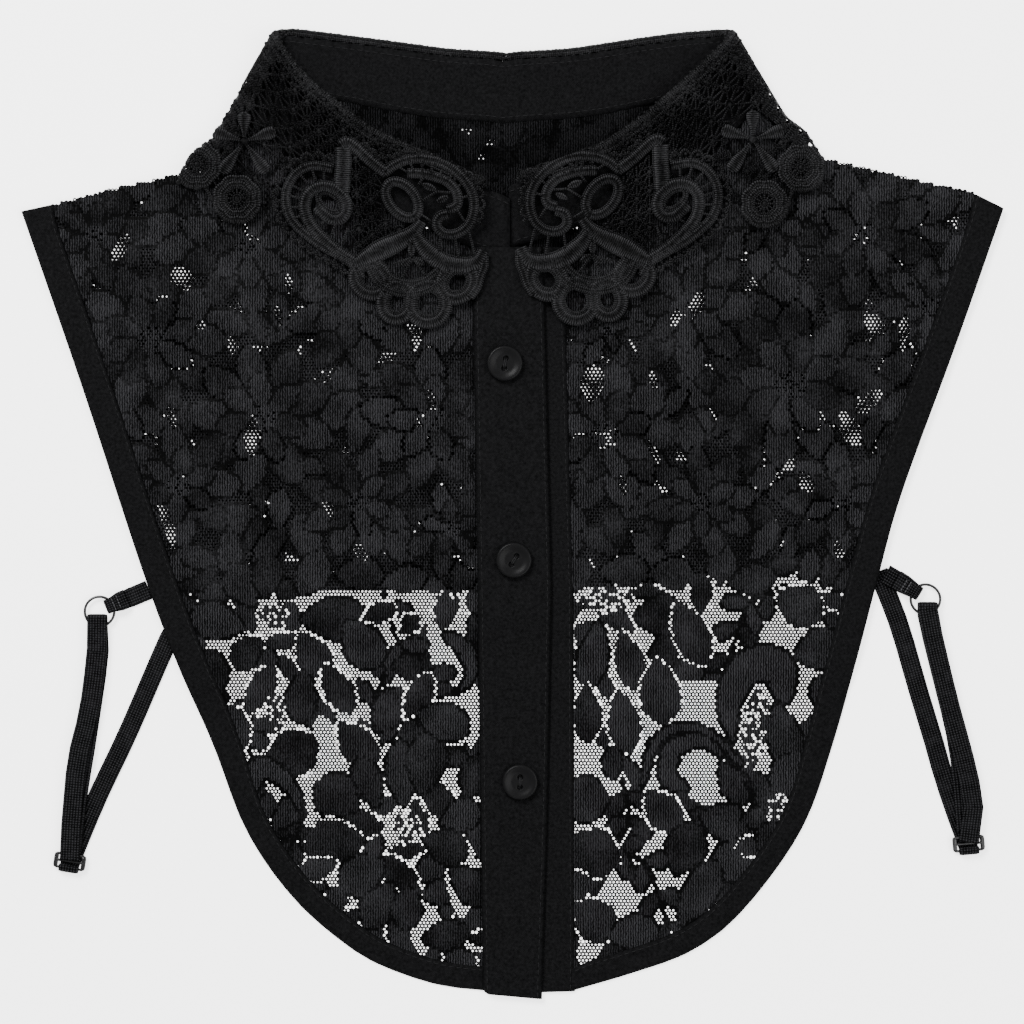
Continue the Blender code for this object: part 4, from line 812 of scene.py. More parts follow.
def band_profile(groove):
    """A rounded band's section, with a dip of this share of its rise along the middle."""
    a = np.linspace(1, -1, 11)
    b = (1 - np.abs(a) ** 3) ** 0.5 - groove * np.exp(-((a / 0.26) ** 2))
    return np.vstack([np.column_stack([a, np.maximum(b, 0.05)]), [(-1, 0), (1, 0)]])


# Size and height of a knot's rings of points, as shares of its radius and its rise.
KNOT_RINGS = ((1, -0.15), (0.9, 0.45), (0.5, 0.88))


def dome(bundle, places, ups, radius, rise, sides=8):
    """Low round knots: three rings of points under a top point."""
    first = unit(np.cross(ups, (0.31, 0.87, 0.38)))
    ring, turn = np.arange(sides), np.linspace(0, 2 * math.pi, sides, endpoint=False)[:, None]
    flat = (first[:, None] * np.cos(turn) + np.cross(ups, first)[:, None] * np.sin(turn)) * radius
    rings = [places[:, None] + flat * size + ups[:, None] * rise * height for size, height in KNOT_RINGS]
    fan = np.column_stack([2 * sides + ring, 2 * sides + (ring + 1) % sides, np.full(sides, 3 * sides)])
    bundle.add(np.concatenate(rings + [(places + ups * rise)[:, None]], axis=1),
               [grid_quads(3, sides), fan, ring[None, ::-1]])


# ---- shader groups and materials


def node(tree, kind, inputs, **settings):
    """The outputs of a new node. Each named input is linked to a socket or set to a value."""
    made = tree.nodes.new(kind)
    for key, value in settings.items():
        setattr(made, key, value)
    for key, value in inputs.items():
        if isinstance(value, bpy.types.NodeSocket):
            tree.links.new(value, made.inputs[key])
        else:
            made.inputs[key].default_value = value
    return made.outputs


def maths(tree, operation, *values):
    return node(tree, "ShaderNodeMath", dict(enumerate(values)), operation=operation)[0]


def times(tree, first, second):
    return maths(tree, "MULTIPLY", first, second)


def plus(tree, first, second):
    return maths(tree, "ADD", first, second)


def halved(tree, wave):
    """A wave from -1 to 1, brought to 0 to 1."""
    return maths(tree, "MULTIPLY_ADD", wave, 0.5, 0.5)


def noise(tree, place, scale, detail):
    return node(tree, "ShaderNodeTexNoise", {"Vector": place, "Scale": scale, "Detail": detail})[0]


def new_group(name, output, **inputs):
    """An empty shader group with one mask as its output. An input without a value is a vector."""
    tree = bpy.data.node_groups.new(name, "ShaderNodeTree")
    for key, value in inputs.items():
        kind = "NodeSocketVector" if value is None else "NodeSocketFloat"
        socket = tree.interface.new_socket(key, in_out="INPUT", socket_type=kind)
        if value is not None:
            socket.default_value = value
    tree.interface.new_socket(output, in_out="OUTPUT", socket_type="NodeSocketFloat")
    return tree, tree.nodes.new("NodeGroupInput").outputs, tree.nodes.new("NodeGroupOutput").inputs[0]


def mottle_group():
    """Uneven tone: a broad and a fine noise added, from 0 to 1."""
    tree, source, result = new_group("cloth mottle", "Tone", Coordinates=None, Scale=60)
    broad = noise(tree, source["Coordinates"], source["Scale"], 3)
    fine = noise(tree, source["Coordinates"], times(tree, source["Scale"], 14), 2)
    tree.links.new(times(tree, plus(tree, broad, fine), 0.5), result)
    return tree


def weave_group():
    """Plain weave: the product of a sine across and a sine along, one thread wide, from 0 to 1."""
    tree, source, result = new_group("plain weave", "Height", Coordinates=None, Thread=0.0004)
    split = node(tree, "ShaderNodeSeparateXYZ", {0: source["Coordinates"]})
    waves = [maths(tree, "SINE", maths(tree, "DIVIDE", times(tree, split[i], math.pi), source["Thread"]))
             for i in (0, 1)]
    tree.links.new(halved(tree, times(tree, *waves)), result)
    return tree


def rib_group():
    """Fine ribs: a sine of one coordinate, wobbled by a noise, from 0 to 1."""
    tree, source, result = new_group("fine ribs", "Height", Distance=0, Coordinates=None,
                                     Pitch=0.7, Wobble=0.3)
    wander = noise(tree, source["Coordinates"], 900, 1)
    turns = plus(tree, maths(tree, "DIVIDE", source["Distance"], source["Pitch"]),
                 times(tree, wander, source["Wobble"]))
    tree.links.new(halved(tree, maths(tree, "SINE", times(tree, turns, 2 * math.pi))), result)
    return tree


GROUPS = {"cloth mottle": mottle_group, "plain weave": weave_group, "fine ribs": rib_group}


def group(tree, name, place, **inputs):
    """A shared effect placed in a material. It is built the first time it is asked for."""
    shared = bpy.data.node_groups.get(name) or GROUPS[name]()
    return node(tree, "ShaderNodeGroup", {"Coordinates": place, **inputs}, node_tree=shared)[0]


def new_material(name, roughness, specular, coat=0):
    """A material with its Principled shader's constants set, its tree, and the object's coordinates."""
    made = bpy.data.materials.new(name)
    made.use_nodes = True
    tree = made.node_tree
    shader = tree.nodes["Principled BSDF"].inputs
    for key, value in (("Roughness", roughness), ("Specular IOR Level", specular),
                       ("Coat Weight", coat), ("Coat Roughness", 0.12)):
        shader[key].default_value = value
    return made, tree, node(tree, "ShaderNodeTexCoord", {})["Object"]


def surface(tree, colour, tone, low, high, height, depth, strength=1):
    """Base colour from low to high times a colour by a tone, and a bump of a depth in metres.

    The tone counts from 0.3 to 0.7, and the height from 0 to 1.
    """
    factor = node(tree, "ShaderNodeMapRange", {"Value": tone, "From Min": 0.3, "From Max": 0.7,
                                               "To Min": low, "To Max": high})[0]
    mixed = node(tree, "ShaderNodeVectorMath", {0: tuple(colour), "Scale": factor}, operation="SCALE")[0]
    bump = node(tree, "ShaderNodeBump", {"Strength": strength, "Distance": depth, "Height": height})[0]
    shader = tree.nodes["Principled BSDF"].inputs
    tree.links.new(mixed, shader["Base Color"])
    tree.links.new(bump, shader["Normal"])


def attribute(tree, name):
    return node(tree, "ShaderNodeAttribute", {}, attribute_name=name)["Fac"]


def mix(tree, first, share_of_first, second, share_of_second):
    return plus(tree, times(tree, first, share_of_first), times(tree, second, share_of_second))


def lace_material(name, colour, specular):
    """Lace cloth: fine upright ribs in the bump, which also lighten the colour as a painted highlight, as
    strong as the attribute cloth says.
    """
    made, tree, place = new_material(name, 0.6, specular)
    mottle = group(tree, "cloth mottle", place, Scale=90)
    across = node(tree, "ShaderNodeSeparateXYZ", {0: place})[0]
    ribs = group(tree, "fine ribs", place, Distance=across, Pitch=0.0009, Wobble=0.9)
    raised = times(tree, ribs, attribute(tree, "cloth"))
    # The ribs lighten the base colour: a painted highlight on the rib crests, over the random mottle.
    tone = maths(tree, "SUBTRACT", mix(tree, mottle, 0.95, raised, 0.45), 0.2)
    surface(tree, colour, tone, 0.2, 8.5, raised, 0.0003)
    return made


def guipure_material(colour, rib):
    """Satin stitches across each band, with a painted highlight: lighter on the stitches towards the band's
    two edges, darker between stitches.
    """
    made, tree, place = new_material("guipure_satin_stitch", 0.5, 0.02)
    mottle = group(tree, "cloth mottle", place, Scale=90)
    ribs = group(tree, "fine ribs", place, Distance=attribute(tree, "along"), Pitch=rib, Wobble=0.5)
    edge = maths(tree, "POWER", maths(tree, "ABSOLUTE", attribute(tree, "across")), 2)
    # Painted highlight: the ribs lighten the colour, most near the band's edges.
    light = times(tree, plus(tree, edge, 0.12), ribs)
    surface(tree, colour, mix(tree, mottle, 0.6, light, 0.65), 0.2, 7, ribs, 0.00014)
    return made


def woven_material(colour, thread):
    """Plain woven cotton with slubs."""
    made, tree, place = new_material("woven_cotton_plain", 0.85, 0.02)
    tone = group(tree, "cloth mottle", place, Scale=1000)
    height = plus(tree, group(tree, "plain weave", place, Thread=thread), times(tree, tone, 1.5))
    surface(tree, colour, tone, 0.1, 2.2, height, 0.00009)
    return made


def elastic_material(colour):
    """Woven elastic: ribs along it, crossed by finer wales; where they cross, the loops lighten the colour as
    a painted highlight.
    """
    made, tree, place = new_material("elastic_woven", 0.5, 0.02)
    mottle = group(tree, "cloth mottle", place, Scale=300)
    wales = group(tree, "fine ribs", place, Distance=attribute(tree, "along"), Pitch=0.9, Wobble=0.6)
    ribs = group(tree, "fine ribs", place, Distance=attribute(tree, "across"), Pitch=1, Wobble=0.2)
    loops = times(tree, wales, ribs)
    # The loops lighten the base colour: a painted highlight on the knit.
    surface(tree, colour, mix(tree, mottle, 0.6, loops, 0.6), 0.1, 7, plus(tree, ribs, loops), 0.00015)
    return made


def plain_material(name, colour, roughness, specular, coat=0):
    """Moulded plastic, coated metal or thread: a faint mottle in tone and in the surface."""
    made, tree, place = new_material(name, roughness, specular, coat)
    tone = group(tree, "cloth mottle", place, Scale=120)
    surface(tree, colour, tone, 0.8, 1.25, tone, 0.00002, 0.6)
    return made


# ---- lace panels


def petal_rows(x, y, radius, petals, angle):
    """A flower's petals from the outer ring to the inner one.   x, y, length, width, angle"""
    rows = []
    for count, reach, size, wide, turn in ((petals, 0.62, 0.84, 0.46, 0), (petals - 2, 0.36, 0.58, 0.34, 18)):
        for k in range(count):
            lean = angle + turn + 360 * k / count + 4 * math.sin(7 * k + angle)
            direction = math.radians(lean)
            rows.append((x + radius * reach * math.cos(direction), y + radius * reach * math.sin(direction),
                         radius * size, radius * wide, lean))
    return rows


def sprig_rows(x, y, bend_x, bend_y, end_x, end_y, pairs):
    """A stem's short pieces, then small leaves in pairs along it."""
    stem = smooth_path(((x, y), (bend_x, bend_y), (end_x, end_y)), 3)
    ahead = np.gradient(stem, axis=0)
    lean = np.degrees(np.arctan2(ahead[:, 1], ahead[:, 0]))
    rows = [(*point, 4.4, 0.7, turn) for point, turn in zip(stem, lean)]
    for i in np.linspace(1, len(stem) - 1, pairs).astype(int):
        for angle in (lean[i] - 52, lean[i] + 52):
            rows.append((*turned(5.4, 0, angle, *stem[i]), 11, 6.2, angle))
    return rows


def petal_depth(centres, row):
    """Distance outside a petal, negative inside it, and distance from the petal's middle line.

    Its half width is a power of the sine of its length, widest beyond the middle.
    """
    x, y, size, wide, angle = row
    u, v = turned(centres[:, 0] - x, centres[:, 1] - y, -angle)
    v = np.abs(v)
    half = wide / 2 * np.sin(math.pi * np.clip(u / size + 0.5, 0, 1) ** 1.25) ** 0.6
    beyond = np.maximum(np.abs(u) - size / 2, 0)
    return np.where(beyond > 0, np.hypot(beyond, v), (v - half) * 0.86), v


NET, CLOTH, CORDED, OUTLINE, BERRY = range(5)
NET_LEVEL, RIM_LEVEL = 0.1, 0.22


class LaceField:
    """What each cell is: open net, a petal's cloth, its closed or holed outline, or a stamen hole."""

    def __init__(self, centres, seed):
        self.centres, count = centres, len(centres)
        self.state, self.kept = np.full(count, NET), np.zeros(count, bool)
        self.level, self.tone = np.full(count, NET_LEVEL), np.full(count, NET_TONE)
        self.random = np.random.default_rng(seed)

    def put(self, cells, state, level, tone):
        self.state[cells], self.level[cells], self.tone[cells] = state, level, tone

    def near(self, row):
        """The cells in the square that holds a petal, with a margin of 2 mm."""
        gaps = np.abs(self.centres - row[:2])
        return np.flatnonzero((gaps < row[2] / 2 + 2).all(axis=1))

    def within(self, row, grow=0):
        """The cells inside a petal's form, grown by this."""
        cells = self.near(row)
        return cells[petal_depth(self.centres[cells], row)[0] < grow]

    def paint(self, row, holed=False, under=False):
        """Lays a petal over what is there or, under, only where the net is still open.

        Its outline is a row of holes, or else a low closed cord. Its cloth rises from the outline by
        1 less an exponential of the depth, and dips along its middle line where it is broad.
        """
        cells = self.near(row)
        depth, aside = petal_depth(self.centres[cells], row)
        half = 0.58 if holed else 0.46
        rim, cloth = np.abs(depth) < half, depth <= -half
        if under:
            free = (self.state[cells] == NET) & ~self.kept[cells]
            rim, cloth = rim & free, cloth & free
        self.put(cells[rim], OUTLINE if holed else CORDED, RIM_LEVEL, OUTLINE_TONE)
        crown = 0.42 + 0.58 * (1 - np.exp(depth / 1.6))
        crown = crown - 0.22 * np.exp(-((aside / 0.9) ** 2)) * (row[3] > 6)
        self.put(cells[cloth], CLOTH, crown[cloth], self.random.uniform(*PETAL_TONE))

    def curl(self, width, *places):
        """A curled leaf: cells nearer to a smooth path than its half width, which swells and tapers."""
        path = smooth_path(np.reshape(places, (-1, 2)), 1)
        half = width / 2 * np.sin(math.pi * np.linspace(0.04, 0.97, len(path)) ** 0.7) ** 0.7
        cells = np.flatnonzero((np.abs(self.centres - path.mean(axis=0)) < 30).all(axis=1))
        depth = (np.linalg.norm(self.centres[cells, None] - path, axis=2) - half).min(axis=1)
        self.put(cells[np.abs(depth) < 0.6], CORDED, RIM_LEVEL, OUTLINE_TONE)
        self.put(cells[depth <= -0.6], CLOTH, 0.9, PETAL_TONE[1])

    def berries(self, row):
        """A cluster of stamens: half of its cells open, the rest raised."""
        inside = self.within(row, -0.3)
        open_cell = self.random.random(len(inside)) < 0.5
        self.put(inside, np.where(open_cell, BERRY, CLOTH), np.where(open_cell, 0.4, 0.95), PETAL_TONE[1])

    def fill(self, flowers, zone, open_share, holed_share):
        """Adds leaves that point away from the flowers until this share of the zone stays open."""
        cells = np.flatnonzero(zone)
        middles = np.array([flower[:2] for flower in flowers])
        for _ in range(900):
            bare = cells[(self.state[cells] == NET) & ~self.kept[cells]]
            if len(bare) < open_share * len(cells):
                return
            x, y = self.centres[self.random.choice(bare)]
            away = np.array([x, y]) - middles[np.argmin(np.hypot(*(middles - (x, y)).T))]
            lean = math.degrees(math.atan2(away[1], away[0])) + self.random.uniform(-40, 40)
            size = self.random.uniform(14, 22)
            row = (x, y, size, size * self.random.uniform(0.46, 0.6), lean)
            inside = self.within(row)
            if len(inside) and (self.state[inside] == NET).mean() > 0.5:
                self.paint(row, self.random.random() < holed_share, under=True)


def net_cells(outline, width):
    """Middles and keys of the cells inside an outline.

    Rows are 0.866 widths apart, and every second row is moved by half a width. A key is twice the
    column and three times the row, so that the six corners of a cell have keys too.
    """
    low, high = outline.min(axis=0), outline.max(axis=0)
    row_step = width * math.sqrt(0.75)
    rows = np.arange(math.floor(low[1] / row_step), math.ceil(high[1] / row_step) + 1)
    columns = np.arange(math.floor(low[0] / width) - 1, math.ceil(high[0] / width) + 1)
    j, i = np.meshgrid(rows, columns, indexing="ij")
    keys = np.column_stack([(2 * i + (j & 1)).ravel(), (3 * j).ravel()])
    centres = keys * (width / 2, row_step / 3)
    inside = inside_loop(centres, outline)
    return centres[inside], keys[inside]


def lay_pattern(field, key):
    """Lays the panel's flowers, leaves, curls, stamens and sprigs, then fills what is left."""
    chance, y = field.random.random, field.centres[:, 1]
    main, rest = (y <= NECK_ZONE, y > NECK_ZONE) if key == "back" else (y > HEM_ZONE, y <= HEM_ZONE)
    for x, y_of, size, wide, angle in LACE_LEAVES[key]:
        field.paint((x, y_of, size * 1.07, wide * 1.07, angle), chance() < HOLED_SHARE[key][1])
    for curl in CURLS[key]:
        field.curl(*curl)
    for flower in LACE_FLOWERS[key]:
        for row in petal_rows(*flower):
            field.paint(row, chance() < HOLED_SHARE[key][0])
        field.berries((*flower[:2], flower[2] * 0.42, flower[2] * 0.4, 0))
    for row in BERRIES[key]:
        field.berries(row)
    for sprig in SPRIGS[key]:
        for row in sprig_rows(*sprig):
            field.paint(row, under=True)
    for row in KEPT_OPEN:
        field.kept[field.within(row)] = True
    for cells, open_share, holed_share in zip((main, rest), OPEN_SHARE[key], HOLED_SHARE[key]):
        if cells.any():
            field.fill(LACE_FLOWERS[key] + LACE_LEAVES[key], cells, open_share, holed_share)
    # On the back, the open cells above the neck zone close into a low dark cord, a painted shade for the
    # inside of the neck; a strip along the hem closes too.
    if key == "back":
        closed = rest | (y < along(BACK_HEM, field.centres[:, 0]) + 1.6)
        field.put(closed & (field.state != CLOTH), CORDED, 0.5, 0.2)
    for row in WINDOWS:
        field.put(field.within(row, 0.7 if key == "back" else 0), NET, NET_LEVEL, NET_TONE)
    if key in MOTIF:
        under = np.linalg.norm((field.centres - MOTIF[key][:2]) / UNDER_MOTIF, axis=1) < 1
        field.state[under & (field.state != CLOTH)] = CORDED


def lace_piece(name, key, outline, height, settings, finish, width=None):
    """A lace panel as net cells: a filled hexagon for cloth, and a ring of six quads for a hole.

    A corner's height is the mean of the levels of the cells that meet there.
    """
    width = width or settings.net_width / MM
    centres, keys = net_cells(outline, width)
    field = LaceField(centres, settings.seed + len(name))
    lay_pattern(field, key)

    around = ((0, 2), (-1, 1), (-1, -1), (0, -2), (1, -1), (1, 1))
    flat = (keys[:, None] + around).reshape(-1, 2)
    _, first, index = np.unique(flat[:, 0] * 100003 + flat[:, 1], return_index=True, return_inverse=True)
    index = index.reshape(-1, 6)
    plan = flat[first] * (width / 2, width * math.sqrt(0.75) / 3)
    level = np.bincount(index.ravel(), np.repeat(field.level, 6)) / np.bincount(index.ravel())

    closed = (field.state == CLOTH) | (field.state == CORDED)
    holes = np.flatnonzero(~closed)
    size = np.full(len(holes), settings.hole_share)
    for kind, low in ((BERRY, 0.35), (OUTLINE, 0.3)):
        chosen = field.state[holes] == kind
        size[chosen] = field.random.uniform(low, 0.85, chosen.sum())
    # Above the neck zone the holes are smaller, so the net there reads dark: partly for the layers that lie
    # over each other, partly as painted shade for the inside of the neck.
    size[centres[holes, 1] > NECK_ZONE] *= 0.62
    if key == "back":
        size *= 0.88
    outer = index[holes]
    inner = centres[holes, None] + (plan[outer] - centres[holes, None]) * size[:, None, None]
    ring = len(plan) + np.arange(len(holes) * 6).reshape(-1, 6)
    quads = np.stack([outer, np.roll(outer, -1, 1), np.roll(ring, -1, 1), ring], axis=-1).reshape(-1, 4)
    plan = np.vstack([plan, inner.reshape(-1, 2)])
    level = np.concatenate([level, np.repeat(field.level[holes] - 0.12, 6)]) * settings.relief / MM
    tone = np.concatenate([field.tone[closed], np.repeat(field.tone[holes], 6)])
    points = np.column_stack([plan, height(*plan.T) + 0.3 + level])
    # The attribute cloth holds each face's tone, which sets how strongly the painted highlight on the ribs
    # shows.
    return new_piece(name + "_lace", points, [index[closed], quads], finish, [name],
                     {"cloth": tone}, "FACE")


def collar_sides():
    return {side: CollarSide(side) for side in SIDES}


def front_outline(side, collar):
    """The front's lace, which runs a little way into its binding and under its band."""
    path, width = front_curve(side)
    edge = binding_edge(side, path, width - LACE_IN_BINDING, 10.9)
    ys = np.linspace(edge[-1][1], 92, 30)
    inner_x, outward = (-7, -1) if side == "left" else (along(UNDER_BAND, ys, 2) - 0.6, 1)
    inner = np.column_stack([np.broadcast_to(inner_x, ys.shape), ys])
    edge = edge[(edge[:, 0] - inner[0, 0]) * outward > 1]
    neck = collar.neck_edge("front")
    neck = neck[(neck[:, 0] - inner[-1, 0]) * outward > 1]
    return np.vstack([edge, inner, neck, shoulder_line(side, collar, "front")[::-1]])


def back_outline(collars):
    """The back's lace, from its armhole bindings to its hem and its neck edge."""
    xs = np.linspace(-118, 119, 25)
    hem = np.column_stack([xs, along(BACK_HEM, xs)])
    edges = {}
    for side, width, end in (("left", BACK_BINDING_WIDTH, hem[0]), ("right", -BACK_BINDING_WIDTH, hem[-1])):
        path = smooth_path(BACK_EDGE[side], 12)
        edges[side] = side_step(path, width - math.copysign(LACE_IN_BINDING, width))
        edges[side][0] = point_on(SHOULDER[side], 14)
        edges[side][-1, 1] = end[1]
    neck = np.vstack([collars["right"].neck_edge("back")[::-1], collars["left"].neck_edge("back")])
    return np.vstack([
        edges["left"], hem, edges["right"][::-1], shoulder_line("right", collars["right"], "back")[1:],
        neck + (0, NECK_IN_STAND), shoulder_line("left", collars["left"], "back")[:0:-1],
    ])


# ---- guipure


def point_edge(side):
    """The leaf's edge on the front, in the plan: the point, its lobes, the arc and two wheels."""
    local = list(POINT_EDGE)
    for across, up_by, size, wide, _ in MOTIF_LOBES[::-1]:
        away = math.degrees(math.atan2(up_by + 9, across - 8))
        local += list(arc((across, up_by), (size + wide) / 4 + 2.9, away + 62, away - 62, 9))
    points = [motif_point(side, local + list(ARC_EDGE))]
    for _, x, y, radius in WHEELS[side][:2]:
        ends = (-30, -175) if abs(x) < 102 else (-72, EDGE_END[side])
        start, end = ends if side == "left" else (180 - angle for angle in ends)
        points.append(arc((x, y), radius, start, end, 9))
    return np.vstack(points)


def leaf_outline(side, collar):
    """The leaf's lower edge in its flat pattern, its whole outline, and the roll's end at the back."""
    hand = MOTIF[side][3]
    back = [(x, y) for x, y in BACK_LEAF_EDGE[::hand] if 4 < -x * hand < 100]
    middle_x = BACK_MIDDLE[side]
    middle_y = float(along(BACK_LEAF_EDGE, middle_x))
    edge = [collar.pattern("front", x, y) for x, y in point_edge(side)]
    edge += [(g * FOLD_RADIUS_AT_EDGE, FOLD_CUT[side] - collar.roll_line(g)) for g in (0.3, 1 - math.pi)]
    edge += [collar.pattern("back", x, y) for x, y in back + [(middle_x, middle_y)]]
    middle = [collar.pattern("back", middle_x, y) for y in np.linspace(middle_y + 8, 158, 5)]
    for w in np.linspace(0, -ROLL_LENGTH, 6):
        g = middle[-1][0]
        for _ in range(8):
            g += (collar.leaf(g, w)[0] - middle_x) / collar.inward[0]
        middle.append((g, w))
    front, end = edge[0][0], middle[-1][0]
    roll = [(g, -ROLL_LENGTH) for g in collar.stations(5)[::-1] if end + 2 < g < front - 2]
    roll.append((front, -ROLL_LENGTH))
    return np.array(edge), np.array(edge + middle + roll), end


class LeafWork:
    """Places work on the outside of one half of the collar leaf."""

    def __init__(self, side, collar):
        self.side, self.collar = side, collar
        self.sign = 1 if side == "left" else -1
        self.ground, self.satin = Bundle(), Bundle()

    def normals(self, g, w):
        """Square to the surface: the cross product of its steps along w and along g."""
        step = 0.05
        by_g = self.collar.leaf(g + step, w) - self.collar.leaf(g - step, w)
        by_w = self.collar.leaf(g, w + step) - self.collar.leaf(g, w - step)
        return unit(np.cross(by_w, by_g)) * self.sign

    def at(self, g, w, lift=0):
        """Points at a lift above the middle of the leaf, and the normals there.

        Where the leaf lies under the back, a lift is held to what fits above the surface.
        """
        up = self.normals(g, w)
        room = np.where(self.collar.turn(g, w) > 1.6, 0.25, 1)
        return self.collar.leaf(g, w) + up * (lift * room)[..., None], up, room

    def pattern(self, half, plan):
        return np.column_stack(self.collar.pattern(half, *np.transpose(plan)))

    def cord(self, half, plan, width, rise, profile=CORD, lift=-0.1, closed=False):
        """Carries a profile along a plan path of one half."""
        path, up, room = self.at(*self.pattern(half, plan).T, lift)
        sweep(self.satin, path, up, width, rise * room, profile, closed)

    def knots(self, g, w, radius, rise, sides=8, lift=0, bundle=None):
        path, up, room = self.at(g, w, lift)
        dome(bundle or self.satin, path, up * room[:, None], radius, rise, sides)

    def bar(self, half, start, end, width=0.8):
        """A short twisted bar between two plan points."""
        count = max(3, int(math.hypot(*(end - start)) / 1.2) + 1)
        share_of = np.linspace(0, 1, count)[:, None]
        self.cord(half, start * (1 - share_of) + end * share_of, width, 0.7, lift=0.1)

    def band(self, plan, width, rise, groove, closed=False):
        """A raised satin band along a plan path of the front, with a thin cord on each edge."""
        self.cord("front", plan, width, rise, band_profile(groove), closed=closed)
        for hand in (-1, 1):
            self.cord("front", side_step(plan, hand * width / 2), 0.62, rise * 0.75, closed=closed)

    def wheel(self, half, x, y, radius):
        """A round wheel: two scalloped bands that touch, a thin ring, twelve spokes and a knob."""
        for share_of, width, groove in ((0.86, 0.26, 0.3), (0.61, 0.24, 0.3), (0.44, 0.09, 0)):
            angles = np.linspace(0, 2 * math.pi, 72, endpoint=False)
            size = radius * share_of * (1 + 0.12 * share_of * (np.abs(np.sin(4 * angles)) - 0.6))
            self.cord(half, (x, y) + size[:, None] * rays(angles), width * radius, 0.9, band_profile(groove),
                      closed=True)
        for direction in circle(12) * radius:
            self.bar(half, (x, y) + direction * 0.08, (x, y) + direction * 0.44, 0.55)
        self.knots(*self.pattern(half, [(x, y)]).T, 1.1, 1.1)

    def blossom(self, half, x, y, radius):
        """Club-shaped satin petals round a knob, wide near their round tips, the lower ones longer."""
        share_of = np.linspace(0.1, 1, 13)
        width = 0.9 + 4.8 * np.sin(math.pi / 2 * share_of) ** 2.2 * np.sqrt(1 - share_of ** 9)
        for angle in np.radians(90 + np.arange(BLOSSOM_PETALS) * 360 / BLOSSOM_PETALS):
            reach = radius * (1.27 - 0.2 * math.sin(angle))
            self.cord(half, (x, y) + reach * share_of[:, None] * rays(angle), width, 0.95, band_profile(0.25))
        self.knots(*self.pattern(half, [(x, y)]).T, 1.5, 1.3)

    def satin_leaf(self, across, up_by, size, wide, angle):
        """A leaf whose width is a cosine along it."""
        steps = np.linspace(-0.5, 0.5, 9)
        local = (across, up_by) + steps[:, None] * size * rays(math.radians(angle))
        self.cord("front", motif_point(self.side, local), wide * np.cos(math.pi * steps * 0.94) + 0.2, 0.85,
                  band_profile(0.25), lift=0)

    def picots(self, path, reach, pitch=3.5):
        """A cord in small scallops off a band's outer side, each with a knot, and bars between them.

        The cord stands off by the reach times 0.5 + 0.5 of a sine's size to the power 0.6.
        """
        line = smooth_path(path, 0.5)
        swell = np.abs(np.sin(math.pi * run_length(line) / pitch)) ** 0.6
        self.cord("front", motif_point(self.side, side_step(line, reach * (0.5 + 0.5 * swell))), 0.9, 0.9)
        line = smooth_path(path, pitch)
        for ends in zip(line, side_step(line, reach * 0.6)):
            self.bar("front", *motif_point(self.side, ends), 0.7)
        knots = side_step((line[1:] + line[:-1]) / 2, reach * 0.72)
        self.knots(*self.pattern("front", motif_point(self.side, knots)).T, 0.75, 1)

    def motif(self):
        """The scrollwork of the leaf's front point, on its own across and up axes."""
        for _, width, rise, groove, points in MOTIF_BANDS:
            plan = motif_point(self.side, smooth_path(points, 1.1))
            if isinstance(width, tuple):
                width = np.interp(np.linspace(0, 1, len(plan)), np.linspace(0, 1, len(width)), width)
            self.band(plan, width, rise, groove)
        for *loop, width in MOTIF_RINGS:
            self.band(motif_point(self.side, ellipse(*loop, 40)), width, 1, 0.35, True)
        for across, up_by, size, wide, angle in MOTIF_LOBES:
            for grow, width, rise in ((0.7, 1, 0.9), (5.2, 3.7, 0.8)):
                loop = ellipse(across, up_by, size + grow, wide + grow, angle, 36)
                self.band(motif_point(self.side, loop), width, rise, 0.25, True)
        for row in MOTIF_BARS:
            self.bar("front", *motif_point(self.side, np.reshape(row, (2, 2))))
        for row in MOTIF_LEAVES:
            self.satin_leaf(*row)
        paths = {row[0]: row[4] for row in MOTIF_BANDS}
        self.picots(paths["outer arc"][:10], -4.6)
        self.picots(paths["right leg"][2:-1] + paths["wide scroll"][1:9], 3.7, 3.2)

    def thicker(self, g, w):
        """From 1 on the open parts to 2.2 by the roll and 2.9 at the side fold."""
        return 1 + np.maximum(1.2 * ease((4 - w) / 4), 1.9 * ease((9 - self.collar.inside(g, w)) / 5))

    def star_net(self, outline, closed_off, pitch, thread):
        """The net ground: a lattice of stars over the flat pattern.

        Nodes stand a pitch apart along the roll and down from it, and lean so that their columns hang
        upright on the front. Threads join each node to its eight neighbours and end at the outline.
        They are thicker by the roll and the side fold. A knot in a ring lies on each node, and a ring
        where two slanting threads cross.
        """
        low, high = outline.min(axis=0), outline.max(axis=0)
        g, w = np.meshgrid(np.arange(low[0] - 40, high[0] + pitch, pitch),
                           np.arange(0.45 - ROLL_LENGTH, high[1] + pitch, pitch * 1.03), indexing="ij")
        nodes = np.dstack([g + 0.6 * np.clip(w, 0, None) * ease(g / 20), w])
        pairs = ((nodes[:-1], nodes[1:]), (nodes[:, :-1], nodes[:, 1:]),
                 (nodes[:-1, :-1], nodes[1:, 1:]), (nodes[1:, :-1], nodes[:-1, 1:]))
        starts, spans = (np.concatenate([part.reshape(-1, 1, 2) for part in parts])
                         for parts in zip(*((a, b - a) for a, b in pairs)))

        def free(flat):
            keep = inside_loop(flat, outline)
            for loop in closed_off:
                keep &= ~inside_loop(flat, loop)
            return keep

